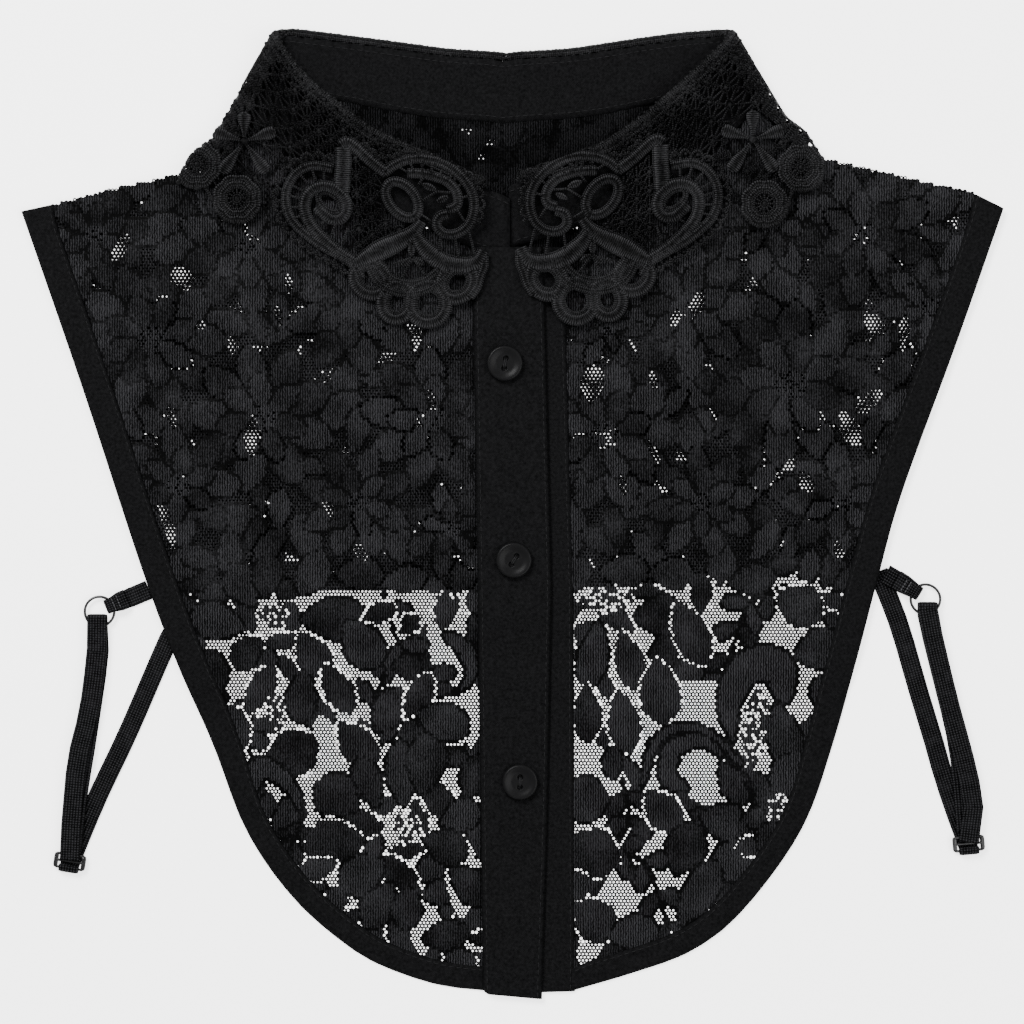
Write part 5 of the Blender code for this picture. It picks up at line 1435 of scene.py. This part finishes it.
        flat = starts + spans * np.linspace(0, 1, 9)[:, None]
        keep = free(flat.reshape(-1, 2)).reshape(-1, 9)
        first, last = keep.argmax(axis=1) / 8, 1 - keep[:, ::-1].argmax(axis=1) / 8
        used = keep.any(axis=1) & (last - first > 0.2)
        first, last = first[used, None, None], last[used, None, None]
        reach = first + (last - first) * np.linspace(0, 1, 5)[:, None]
        g, w = np.moveaxis(starts[used] + spans[used] * reach, 2, 0)
        paths, ups, room = self.at(g, w, -0.3)
        sweep(self.ground, paths, ups, thread * self.thicker(g, w) * (1.2, 0.95, 0.9, 0.95, 1.2), 0.8 * room,
              THREAD)
        turn = np.linspace(0, 2 * math.pi, 10)
        for spots, knot, ring in ((nodes, 0.85, 1.75), ((nodes[:-1, :-1] + nodes[1:, 1:]) / 2, 0, 1.25)):
            spots = spots.reshape(-1, 2)
            spots = spots[free(spots)]
            if knot:
                self.knots(*spots.T, knot, 0.6, 5, bundle=self.ground)
            g, w = np.moveaxis(spots[:, None] + ring * rays(turn), 2, 0)
            paths, ups, room = self.at(g, w, -0.3)
            sweep(self.ground, paths, ups, thread * 0.8 * self.thicker(g, w), 0.9 * room, THREAD)

    def rims(self, edge, back):
        """A cord with knots along the leaf's lower edge, and cords and knots along its roll."""
        rim = smooth_path(edge[len(POINT_EDGE) + 9 * len(MOTIF_LOBES) + len(ARC_EDGE):], 1.2)
        path, up, room = self.at(*rim.T, -0.3)
        sweep(self.satin, path, up, 1, 0.9 * room, CORD)
        self.knots(*rim[::3].T, 1.1, 1, 6, -0.1)
        front = edge[0, 0] - 0.4
        for w, width in ((0.45 - ROLL_LENGTH, 1.1), (-0.5, 1), (2, 0.8)):
            g = np.concatenate([np.arange(front, 8, -1.8), np.arange(8, -20, -0.9),
                                np.arange(-20, back, -1.8), [back - 0.9]])
            path, up, room = self.at(g, np.full(len(g), w), -0.3)
            sweep(self.ground, path, up, width, 0.9 * room, CORD)
        for w, size, pitch in ((-3.2, 0.6, 2.7), (0.8, 0.85, 2.3), (3.4, 0.75, 2.5)):
            g = np.append(np.arange(front, back + 1, -pitch), back)
            self.knots(g, w + 0.7 * np.sin(2.1 * g), size, 1, 7)


def guipure_leaf(side, collar, settings, finish):
    """One half of the openwork leaf: the net ground, and the satin work on it as a mesh of its own."""
    work = LeafWork(side, collar)
    edge, outline, back = leaf_outline(side, collar)
    field = motif_point(side, MOTIF_OPEN + MOTIF_FIELD[::-1] + MOTIF_FIELD[-1:] + MOTIF_OPEN[-1:])
    shut = [work.pattern("front", field)]
    shut += [work.pattern(half, ellipse(x, y, radius * 1.9, radius * 1.9, 0, 20))
             for half, x, y, radius in FLOWERS[side] + WHEELS[side]]
    shut = [loop for loop in shut if np.abs(loop[:, 0]).min() > 2]
    work.star_net(outline, shut, settings.star_pitch / MM, settings.star_thread / MM)
    work.rims(edge, back)
    work.motif()
    for half, x, y, radius in FLOWERS[side]:
        work.blossom(half, x, y, radius * 0.98)
    for row in WHEELS[side]:
        work.wheel(*row)
    ground = work.ground.piece("leaf_%s_guipure" % side, finish, "guipure", "leaf_" + side)
    satin = work.satin.piece("leaf_%s_satin_work" % side, finish, "guipure")


# ---- woven pieces and stitches


def stitch_line(bundle, path, up, stitch, gap, width=0.4, rise=0.3):
    """A row of short cords along a path, each ending where the next gap starts."""
    distance = run_length(path)
    up = np.broadcast_to(up, path.shape)
    for start in np.arange(0.4, distance[-1] - stitch, stitch + gap):
        points, ups = (read_at(np.linspace(start, start + stitch, 4), distance, rows) for rows in (path, up))
        sweep(bundle, points, unit(ups), width, rise * np.array([0.35, 1, 1, 0.35]), THREAD)


def seam(bundle, line, height, thickness, stitch):
    """Stitches along a plan line, sunk a little into the top of flat cloth."""
    path = np.column_stack([line, height(*line.T) + thickness - 0.04])
    stitch_line(bundle, path, UP, *stitch)


def flat_cloth(bundle, outer, inner, height, thickness, columns, edge):
    """A flat strip between two equally long plan curves, with rounded long edges and closed ends.

    Rows run across it. The top is height + thickness + the ripples that stitches draw into cloth,
    which are a product of two sines, and the underside is flat.
    """
    share_of = np.linspace(0, 1, columns)
    width = np.linalg.norm(inner - outer, axis=1)[:, None]
    round_off = np.clip(np.minimum(share_of, 1 - share_of) * width / edge, 0, 1)
    rise = np.sqrt(1 - (1 - round_off) ** 2)
    plan = outer[:, None] + (inner - outer)[:, None] * share_of[:, None]
    x, y = plan[..., 0], plan[..., 1]
    base = height(x, y)
    ripples = 0.06 * np.sin(y * 1.3 + np.sin(x * 0.9)) * np.sin(x * 0.8 + y * 0.11)
    top = np.dstack([plan, base + thickness * (0.5 + 0.5 * rise) + ripples])
    under = np.dstack([plan, base + thickness * (0.5 - 0.5 * rise)])
    bundle.tube(np.concatenate([top, under[:, -2:0:-1]], axis=1)[None], flip=True)


def sewn(name, cloth, thread, kit, *nodes):
    """The cloth and the stitches of a woven piece."""
    return (cloth.piece(name + "_cloth", kit["woven"], "woven_cotton", *nodes),
            thread.piece(name + "_stitches", kit["thread"], "woven_cotton"))


HEM_ENDS = {"left": -8, "right": 21.2}  # the left binding ends under the top band


def reach_band(edge, x):
    """The edge lengthened in its last direction to this x."""
    ahead = edge[-1] - edge[-2]
    return np.vstack([edge, edge[-1] + ahead * (x - edge[-1, 0]) / ahead[0]])


def binding_piece(name, path, inner, height, kit):
    """A bias strip folded over a cut edge, with one row of stitches near its inner edge."""
    cloth, thread = Bundle(), Bundle()
    wanted = np.linspace(0, 1, max(60, int(run_length(path)[-1] / 3)))
    outer, edge = (read_at(wanted, np.linspace(0, 1, len(row)), row) for row in (path, inner))
    flat_cloth(cloth, outer, edge, height, BINDING, 12, 0.8)
    line = edge + (outer - edge) * (1.3 / np.linalg.norm(outer - edge, axis=1))[:, None]
    seam(thread, line, height, BINDING, kit["stitch"])
    sewn(name, cloth, thread, kit, name)


BAND_IN_STAND = 4  # length of a band that is sewn into the stand
BAND_STEP = 2.5


def band_sides(rows, foot, corner):
    """The left and right edge of a button band, from inside the stand to its foot.

    The left edge turns in at the foot by the corner's size.
    """
    top, end = rows[0][0], rows[-1][0]
    ys = np.linspace(top + BAND_IN_STAND, end, int((top - end) / BAND_STEP))
    left, right = (np.column_stack([along(rows, ys, k), ys]) for k in (1, 2))
    left[-1, 1], right[-1, 1] = foot
    turn = left[-1] + corner * np.array([(0, -0.35), (0.2, -0.75), (0.6, -1)])
    return np.vstack([left, turn]), np.vstack([right] + [right[-1:] - (0, 0.01 * k) for k in (1, 2, 3)])


def button_band(name, rows, foot, corner, lift, kit):
    """A folded strip with a row of stitches 1.6 mm inside each long edge."""
    cloth, thread = Bundle(), Bundle()
    left, right = band_sides(rows, foot, corner)

    def height(x, y):
        return front_height(x, y) + lift

    flat_cloth(cloth, left, right, height, BAND, 22, 0.7)
    width = np.linalg.norm(right - left, axis=1)[:, None]
    for inset in (1.6, -1.6):
        seam(thread, left + (right - left) * ((inset % width) / width), height, BAND, kit["stitch"])
    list(sewn(name, cloth, thread, kit, name))


STAND_CLOSING = 3.4  # the left front end of the stand reaches the right one


def stand_piece(collars, kit):
    """The collar stand as one folded strip, with stitches below its top edge and above its foot."""
    left = collars["left"].stations(4)
    left = np.concatenate([[left[0] + STAND_CLOSING], left])
    right = collars["right"].stations(4)[::-1][1:]
    grid = np.stack([np.concatenate([collars["left"].stand(left, v), collars["right"].stand(right, v)])
                     for v in np.linspace(0, STAND_HEIGHT, 12)], axis=1)
    outward = unit(np.cross(np.gradient(grid, axis=0), np.gradient(grid, axis=1)))
    half = STAND / 2 * (0.35 + 0.65 * np.sin(math.pi * np.linspace(0.03, 0.97, 12)) ** 0.25)[:, None]
    wave = 0.07 * np.sin(np.arange(len(grid)) * 1.7)[:, None, None]
    cloth, thread = Bundle(), Bundle()
    cloth.tube(np.concatenate([grid + outward * (half + wave), (grid - outward * (half - wave))[:, ::-1]],
                              axis=1)[None])
    for column in (1, 10):
        for hand in (-1, 1):
            path = (grid + hand * outward * (half + wave * hand - 0.04))[:, column]
            stitch_line(thread, path, outward[:, column] * hand, *kit["stitch"])
    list(sewn("collar_stand", cloth, thread, kit, "collar_stand"))


# ---- elastic and hardware


def webbing_rows(path):
    """The width direction and the upper side of a flat elastic, held level across its width."""
    path = np.array(path)
    path[:, 2] = np.maximum(path[:, 2], LOW)
    ahead = np.gradient(path, axis=0)
    across = np.column_stack([-ahead[:, 1], ahead[:, 0]])
    steep = np.linalg.norm(across, axis=1) < 0.35 * np.linalg.norm(ahead, axis=1)
    for i in range(len(across)):
        if i and steep[i]:
            across[i] = across[i - 1]
        elif steep[i] or (i and across[i] @ across[i - 1] < 0):
            across[i] = -across[i]
        across[i] /= np.linalg.norm(across[i])
    across = np.column_stack([across, np.zeros(len(across))])
    return path, across, unit(np.cross(unit(ahead), across))


def elastic(name, path, widths, finish, thread_finish, bars=()):
    """A woven elastic with ribs across it, and bar tacks at the named shares of its length."""
    path, across, up = webbing_rows(path)
    distance = run_length(path)
    wanted = np.unique(np.round(np.concatenate([np.arange(0, distance[-1], 0.5), distance]), 2))
    path, across, up = (read_at(wanted, distance, rows) for rows in (path, across, up))
    across, up = unit(across), unit(up)
    widths = np.interp(wanted, distance, np.broadcast_to(widths, len(distance)))
    share_of = np.linspace(1, -1, 9)
    rib = 0.06 * np.sin(wanted * 2 * math.pi / 0.9)[:, None]
    thick = WEBBING / 2 * (1 - 0.5 * np.abs(share_of) ** 8)
    flat = path[:, None] + across[:, None] * (widths[:, None] / 2 * share_of)[..., None]
    top = flat + up[:, None] * (thick - 0.05 + rib)[..., None]
    low = flat - up[:, None] * (thick - 0.03)[:, None]
    points = np.concatenate([top, low[:, ::-1]], axis=1)
    points[..., 2] = np.maximum(points[..., 2], 0)
    cloth, thread = Bundle(), Bundle()
    cloth.tube(points[None], wanted, np.concatenate([share_of, share_of[::-1]]) * STRAP_WIDTH / 2, flip=True)
    cloth.piece(name + "_elastic", finish, "elastic", name)
    for where in bars:
        i = int(where * len(path))
        outward = up[i] * np.sign(up[i, 2])
        steps = np.linspace(-0.42, 0.42, 9)[:, None] * widths[i]
        stitch_line(thread, path[i] + across[i] * steps + outward * (WEBBING / 2 - 0.02), outward, *TACK)
    if bars:
        thread.piece(name + "_bar_tacks", thread_finish, "elastic")


def away_from(path, place, reach):
    """The path without the points that are nearer to a place than this."""
    return path[np.linalg.norm(path[:, :2] - place[:2], axis=1) > reach]


def strap_paths(side):
    """The middle lines of the front strap, the doubled strap and the tab, with the tab's widths."""
    ring, outward = np.array(RING_MIDDLE[side]), 1 if side == "left" else -1
    x, y, angle = SLIDER[side]
    tilt = math.radians(angle)
    below = np.array([math.sin(tilt), -math.cos(tilt)])
    back = -np.append(below, 0)
    turn = half_turn((x, y) + below * (SLIDER_SIZE[1] / 2 + SEAM + WEBBING / 2), below)
    low = away_from(smooth_path(STRAP_FRONT[side], STRAP_STEP), turn[0], 5)
    upper = turn[-1] + back * 1.2
    front = np.vstack([low, turn[:1] + back * 1.2, turn, upper])

    start = upper + back * 1.6
    top = away_from(smooth_path(STRAP_TOP[side], STRAP_STEP), start, 4)
    turn = half_turn(ring + (-0.8 * outward, -1.25), (0, 1))[::-1]
    under = smooth_path(STRAP_UNDER[side], STRAP_STEP)
    loop = np.vstack([start, top[top[:, 1] < turn[0, 1] - 3], turn[:1] - (0, 1.2, 0), turn,
                      turn[-1:] - (0, 1.2, 0), under[under[:, 1] < turn[-1, 1] - 3]])

    root = smooth_path(TAB[side], 6)
    ahead = unit(root[-1, :2] - root[0, :2])
    lateral = np.array([-ahead[1], ahead[0]]) * (-0.5 if side == "left" else 0.5)
    turn = half_turn(ring - ahead * 2.95 + lateral, ahead)
    root = root[(root[:, :2] - turn[0, :2]) @ ahead < -2.5]
    heights = (HIGH, (HIGH + CROSSING) / 2 + 0.45, root[0, 2] + WEBBING + SEAM)
    ends = [np.append(turn[-1, :2] - ahead * TAB_RETURN[side] * share_of, z)
            for share_of, z in zip((0.25, 0.6, 1), heights)]
    tab = np.vstack([root, turn[:1] - np.append(ahead, 0), turn, ends])
    near = np.linalg.norm(tab[:, :2] - ring, axis=1)
    return front, loop, tab, 5.2 + 1.8 * ease((near - 4) / 5)


def button_piece(number, x, y, angle, finish, thread_finish):
    """A two-hole button: a dished disc with a raised rim, and thread through its holes.

    The disc is a height over a polar grid. The holes are wells: within a hole's radius the upper
    side drops to just above the lower one.
    """
    seat = float(front_height(np.array([x]), np.array([y]))[0]) + OVER_BAND + BAND + SEAM
    r = BUTTON_RADIUS * np.concatenate([np.linspace(0, 0.52, 24)[1:], np.linspace(0.56, 1, 14)])
    share_of = r[:, None] / BUTTON_RADIUS
    level = 1.55 + 0.5 * ease((share_of - 0.45) / 0.42) - 0.75 * ease((share_of - 0.9) / 0.12)
    plan = r[:, None, None] * circle(BUTTON_SIDES)
    hole = np.linalg.norm(np.abs(plan) - (1.75, 0), axis=2)
    upper = np.dstack([plan, level - 1.35 * ease((BUTTON_HOLE_RADIUS + 0.12 - hole) / 0.3)])
    lower = [np.column_stack([circle(BUTTON_SIDES) * radius, np.full(BUTTON_SIDES, height)])
             for radius, height in BUTTON_FOOT]
    points = np.concatenate([upper, lower])
    turn = math.radians(angle)
    spin = np.array([[math.cos(turn), math.sin(turn), 0], [-math.sin(turn), math.cos(turn), 0], [0, 0, 1]])
    middles = np.array([(0, 0, 1.62), (0, 0, 0)])
    ring, end = np.arange(BUTTON_SIDES), points[..., 0].size
    after, last = (ring + 1) % BUTTON_SIDES, end - BUTTON_SIDES
    fans = [np.column_stack([np.full(BUTTON_SIDES, end), ring, after]),
            np.column_stack([last + ring, np.full(BUTTON_SIDES, end + 1), last + after])]
    disc, thread = Bundle(), Bundle()
    disc.add((np.concatenate([points.reshape(-1, 3), middles]) @ spin + (x, y, seat))[None],
             [grid_quads(len(points), BUTTON_SIDES)[:, ::-1]] + fans)
    disc.piece("button_%d_disc" % number, finish, "button_plastic", "button_%d" % number)
    steps = np.linspace(-1, 1, 15)
    for shift in (-0.28, 0.28):
        local = np.column_stack([steps * 1.85, np.full(15, shift), 1.6 - 1.1 * np.abs(steps) ** 6])
        sweep(thread, local @ spin + (x, y, seat), UP, 0.4, 0.3, CORD)
    thread.piece("button_%d_thread" % number, thread_finish, "button_plastic")


def wire(bundle, plan, width, rise, profile, closed=True):
    sweep(bundle, np.column_stack([plan, np.full(len(plan), WIRE_HEIGHT)]), UP, width, rise, profile, closed)


def ring_piece(side, finish):
    """A round wire in a circle."""
    bundle = Bundle()
    wire(bundle, RING_MIDDLE[side] + RING_RADIUS * circle(72), 2 * RING_WIRE, RING_WIRE, circle(16))
    bundle.piece("ring_%s_wire" % side, finish, "coated_metal", "ring_" + side)


def slider_piece(side, finish):
    """A flat frame with two windows: its rails and bars are swept rounded rods that overlap."""
    x, y, angle = SLIDER[side]
    bundle = Bundle()
    wall = (SLIDER_SIZE[1] - 2 * SLIDER_WINDOW[1]) / 3
    wide, high = (size - wall for size in SLIDER_SIZE)
    square = np.sign(circle(16)) * np.abs(circle(16)) ** 0.6
    middle_bar = np.column_stack([np.linspace(-1, 1, 12) * wide / 2, np.zeros(12)])
    rods = [(rounded_rectangle(wide, high, 0.9, 8), wall, True), (middle_bar, wall, False)]
    for rail_x in (-SLIDER_WINDOW[0] / 2 - 0.8, SLIDER_WINDOW[0] / 2 + 0.8):
        rods.append((np.column_stack([np.full(8, rail_x), np.linspace(-1, 1, 8) * high / 2]), 1.5, False))
    for local, width, closed in rods:
        wire(bundle, np.column_stack(turned(*local.T, angle, x, y)), width, 0.5, square, closed)
    bundle.piece("slider_%s_frame" % side, finish, "coated_metal", "slider_" + side)


# ---- operators and panel


def make_kit(scene):
    """The cloth and hardware materials, made once and found again by name, and the stitch."""
    cloth, made = scene.collar_cloth, bpy.data.materials
    kit = {
        "stitch": (cloth.stitch / MM, cloth.stitch_gap / MM),
        "woven": made.get("woven_cotton_plain") or woven_material(cloth.woven_colour, cloth.weave),
        "elastic": made.get("elastic_woven") or elastic_material(cloth.elastic_colour),
    }
    for key, name, colour, *numbers in (
            ("tacks", "tack_thread", [5 * tone for tone in cloth.thread_colour], 0.5, 0.06),
            ("thread", "sewing_thread", cloth.thread_colour, 0.5, 0.06),
            ("button", "button_moulded", cloth.button_colour, 0.34, 0.06),
            ("metal", "metal_enamelled", cloth.metal_colour, 0.3, 0.25, 0.1)):
        kit[key] = made.get(name) or plain_material(name, colour, *numbers)
    return kit


class CollarOperator:
    bl_options = {"REGISTER", "UNDO"}


class CollarMakeLace(CollarOperator, bpy.types.Operator):
    """Make the two fronts and the back of floral net lace"""

    bl_idname = "collar.make_lace"
    bl_label = "Lace panels"

    def execute(self, context):
        settings, collars = context.scene.collar_lace, collar_sides()
        finish = lace_material("lace_floral_net", settings.colour, 0.02)
        # The back's lace is a darker copy of the lace colour with less specular: partly its duller wrong
        # side, partly painted shade for the inside of the neck.
        wrong_side_painted_shade = lace_material("lace_wrong_side", [0.4 * tone for tone in settings.colour], 0.01)
        for side in SIDES:
            outline = front_outline(side, collars[side])
            made = lace_piece("front_" + side, side, outline, front_height, settings, finish)
        outline = back_outline(collars)
        made = lace_piece("back_panel", "back", outline, back_height, settings, wrong_side_painted_shade, BACK_NET_WIDTH)
        return {"FINISHED"}


class CollarMakeGuipure(CollarOperator, bpy.types.Operator):
    """Make both halves of the openwork collar leaf"""

    bl_idname = "collar.make_guipure"
    bl_label = "Guipure collar"

    def execute(self, context):
        settings = context.scene.collar_guipure
        finish = guipure_material(settings.colour, settings.rib / MM)
        for side, collar in collar_sides().items():
            guipure_leaf(side, collar, settings, finish)
        return {"FINISHED"}


class CollarMakeWoven(CollarOperator, bpy.types.Operator):
    """Make the bindings, the button bands and the collar stand, with their stitches"""

    bl_idname = "collar.make_woven"
    bl_label = "Bindings, bands and stand"

    def execute(self, context):
        kit = make_kit(context.scene)
        for side in SIDES:
            path, width = front_curve(side)
            inner = binding_edge(side, path, width, 11.8)
            path, inner = (reach_band(edge, HEM_ENDS[side]) for edge in (path, inner))
            binding_piece("binding_front_" + side, path, inner, front_height, kit)
            path = smooth_path(BACK_EDGE[side], 12)
            inner = side_step(path, BACK_BINDING_WIDTH if side == "left" else -BACK_BINDING_WIDTH)
            inner[0] = point_on(SHOULDER[side], 15.2)
            inner[-1][1] = path[-1][1]
            binding_piece("binding_back_" + side, path, inner, back_height, kit)
        hem = UNDER_BAND[-1][0]
        button_band("placket_under", UNDER_BAND, (hem - 0.8, hem - 0.4), 0.3, 0, kit)
        button_band("placket_top", TOP_BAND, TOP_BAND_FOOT, 3, OVER_BAND, kit)
        stand_piece(collar_sides(), kit)
        return {"FINISHED"}


class CollarMakeElastic(CollarOperator, bpy.types.Operator):
    """Make the tabs and straps of woven elastic"""

    bl_idname = "collar.make_elastic"
    bl_label = "Elastic"

    def execute(self, context):
        kit = make_kit(context.scene)
        for side in SIDES:
            front, loop, tab, widths = strap_paths(side)
            elastic("strap_%s_front" % side, front, STRAP_WIDTH, kit["elastic"], kit["thread"])
            elastic("strap_%s_loop" % side, loop, STRAP_WIDTH, kit["elastic"], kit["thread"], (0.42,))
            elastic("tab_" + side, tab, widths, kit["elastic"], kit["tacks"], (0.8, 0.87))
        return {"FINISHED"}


class CollarMakeHardware(CollarOperator, bpy.types.Operator):
    """Make the buttons, rings and sliders"""

    bl_idname = "collar.make_hardware"
    bl_label = "Buttons, rings and sliders"

    def execute(self, context):
        kit = make_kit(context.scene)
        for number, row in enumerate(BUTTONS, start=1):
            button_piece(number, *row, kit["button"], kit["thread"])
        for side in SIDES:
            ring_piece(side, kit["metal"])
            slider_piece(side, kit["metal"])
        return {"FINISHED"}


def area_light(name, place, size, power):
    """A square area light at a place, aimed at the middle of the floor."""
    light = bpy.data.lights.new(name, "AREA")
    light.size, light.energy = size, power
    made = bpy.data.objects.new(name, light)
    made.location = place
    made.rotation_euler = (-Vector(place)).to_track_quat("-Z", "Y").to_euler()
    bpy.context.scene.collection.objects.link(made)


class CollarMakeStage(CollarOperator, bpy.types.Operator):
    """Set the floor, the lights and a camera that looks straight down"""

    bl_idname = "collar.make_stage"
    bl_label = "Stage"

    def execute(self, context):
        settings, scene = context.scene.collar_stage, context.scene
        finish = bpy.data.materials.new("floor_matt")
        finish.use_nodes = True
        shader = finish.node_tree.nodes["Principled BSDF"].inputs
        for key, value in (("Roughness", 0.9), ("Specular IOR Level", 0.2), ("Emission Color", WHITE),
                           ("Base Color", (*settings.floor_colour, 1)), ("Emission Strength", settings.glow)):
            shader[key].default_value = value
        mesh = bpy.data.meshes.new("floor")
        corners = ((-1, -1), (1, -1), (1, 1), (-1, 1))
        mesh.from_pydata([(x * FLOOR_REACH, y * FLOOR_REACH, 0) for x, y in corners], [], [(0, 1, 2, 3)])
        mesh.materials.append(finish)
        floor = bpy.data.objects.new("floor", mesh)
        scene.collection.objects.link(floor)
        world = bpy.data.worlds.new("even light")
        world.use_nodes = True
        background = world.node_tree.nodes["Background"].inputs
        background["Color"].default_value, background["Strength"].default_value = WHITE, settings.sky
        scene.world = world
        area_light("key", (-0.7, 0.9, 1.2), 0.7, settings.key_power)
        area_light("fill", (0.9, -0.3, 1.3), 1.2, settings.key_power * 0.45)
        camera = bpy.data.cameras.new("camera")
        camera.lens, camera.sensor_width, camera.clip_end = 100, 36, 20
        made = bpy.data.objects.new("camera", camera)
        made.location = (-0.18 * MM, 0.36 * MM, settings.view_width * camera.lens / camera.sensor_width)
        scene.collection.objects.link(made)
        scene.camera = made
        return {"FINISHED"}


class CollarPanel(bpy.types.Panel):
    """Settings of the collar and one button for each group of pieces"""

    bl_idname = "COLLAR_PT_dressing"
    bl_label = "Lace collar"
    bl_space_type = "VIEW_3D"
    bl_region_type = "UI"
    bl_category = "Lace collar"

    def draw(self, context):
        for group_name, _, operators in SECTIONS:
            box = self.layout.box()
            settings = getattr(context.scene, group_name)
            for key in settings.bl_rna.properties.keys():
                if key not in ("rna_type", "name"):
                    box.prop(settings, key)
            for operator in operators:
                box.operator(operator.bl_idname)


# The sidebar's boxes in the order of making: scene property, its settings, operators.
SECTIONS = (
    ("collar_cloth", CollarClothSettings, (CollarMakeWoven, CollarMakeElastic, CollarMakeHardware)),
    ("collar_guipure", CollarGuipureSettings, (CollarMakeGuipure,)),
    ("collar_lace", CollarLaceSettings, (CollarMakeLace,)),
    ("collar_stage", CollarStageSettings, (CollarMakeStage,)),
)


def register():
    for name, settings, operators in SECTIONS:
        for item in (settings, *operators):
            bpy.utils.register_class(item)
        setattr(bpy.types.Scene, name, bpy.props.PointerProperty(type=settings))
    bpy.utils.register_class(CollarPanel)


def unregister():
    bpy.utils.unregister_class(CollarPanel)
    for name, settings, operators in SECTIONS:
        delattr(bpy.types.Scene, name)
        for item in (*operators, settings):
            bpy.utils.unregister_class(item)


def main():
    register()
    for _, _, operators in SECTIONS:
        for operator in operators:
            family, _, name = operator.bl_idname.partition(".")
            getattr(getattr(bpy.ops, family), name)()
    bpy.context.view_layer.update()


if __name__ == "__main__":
    main()
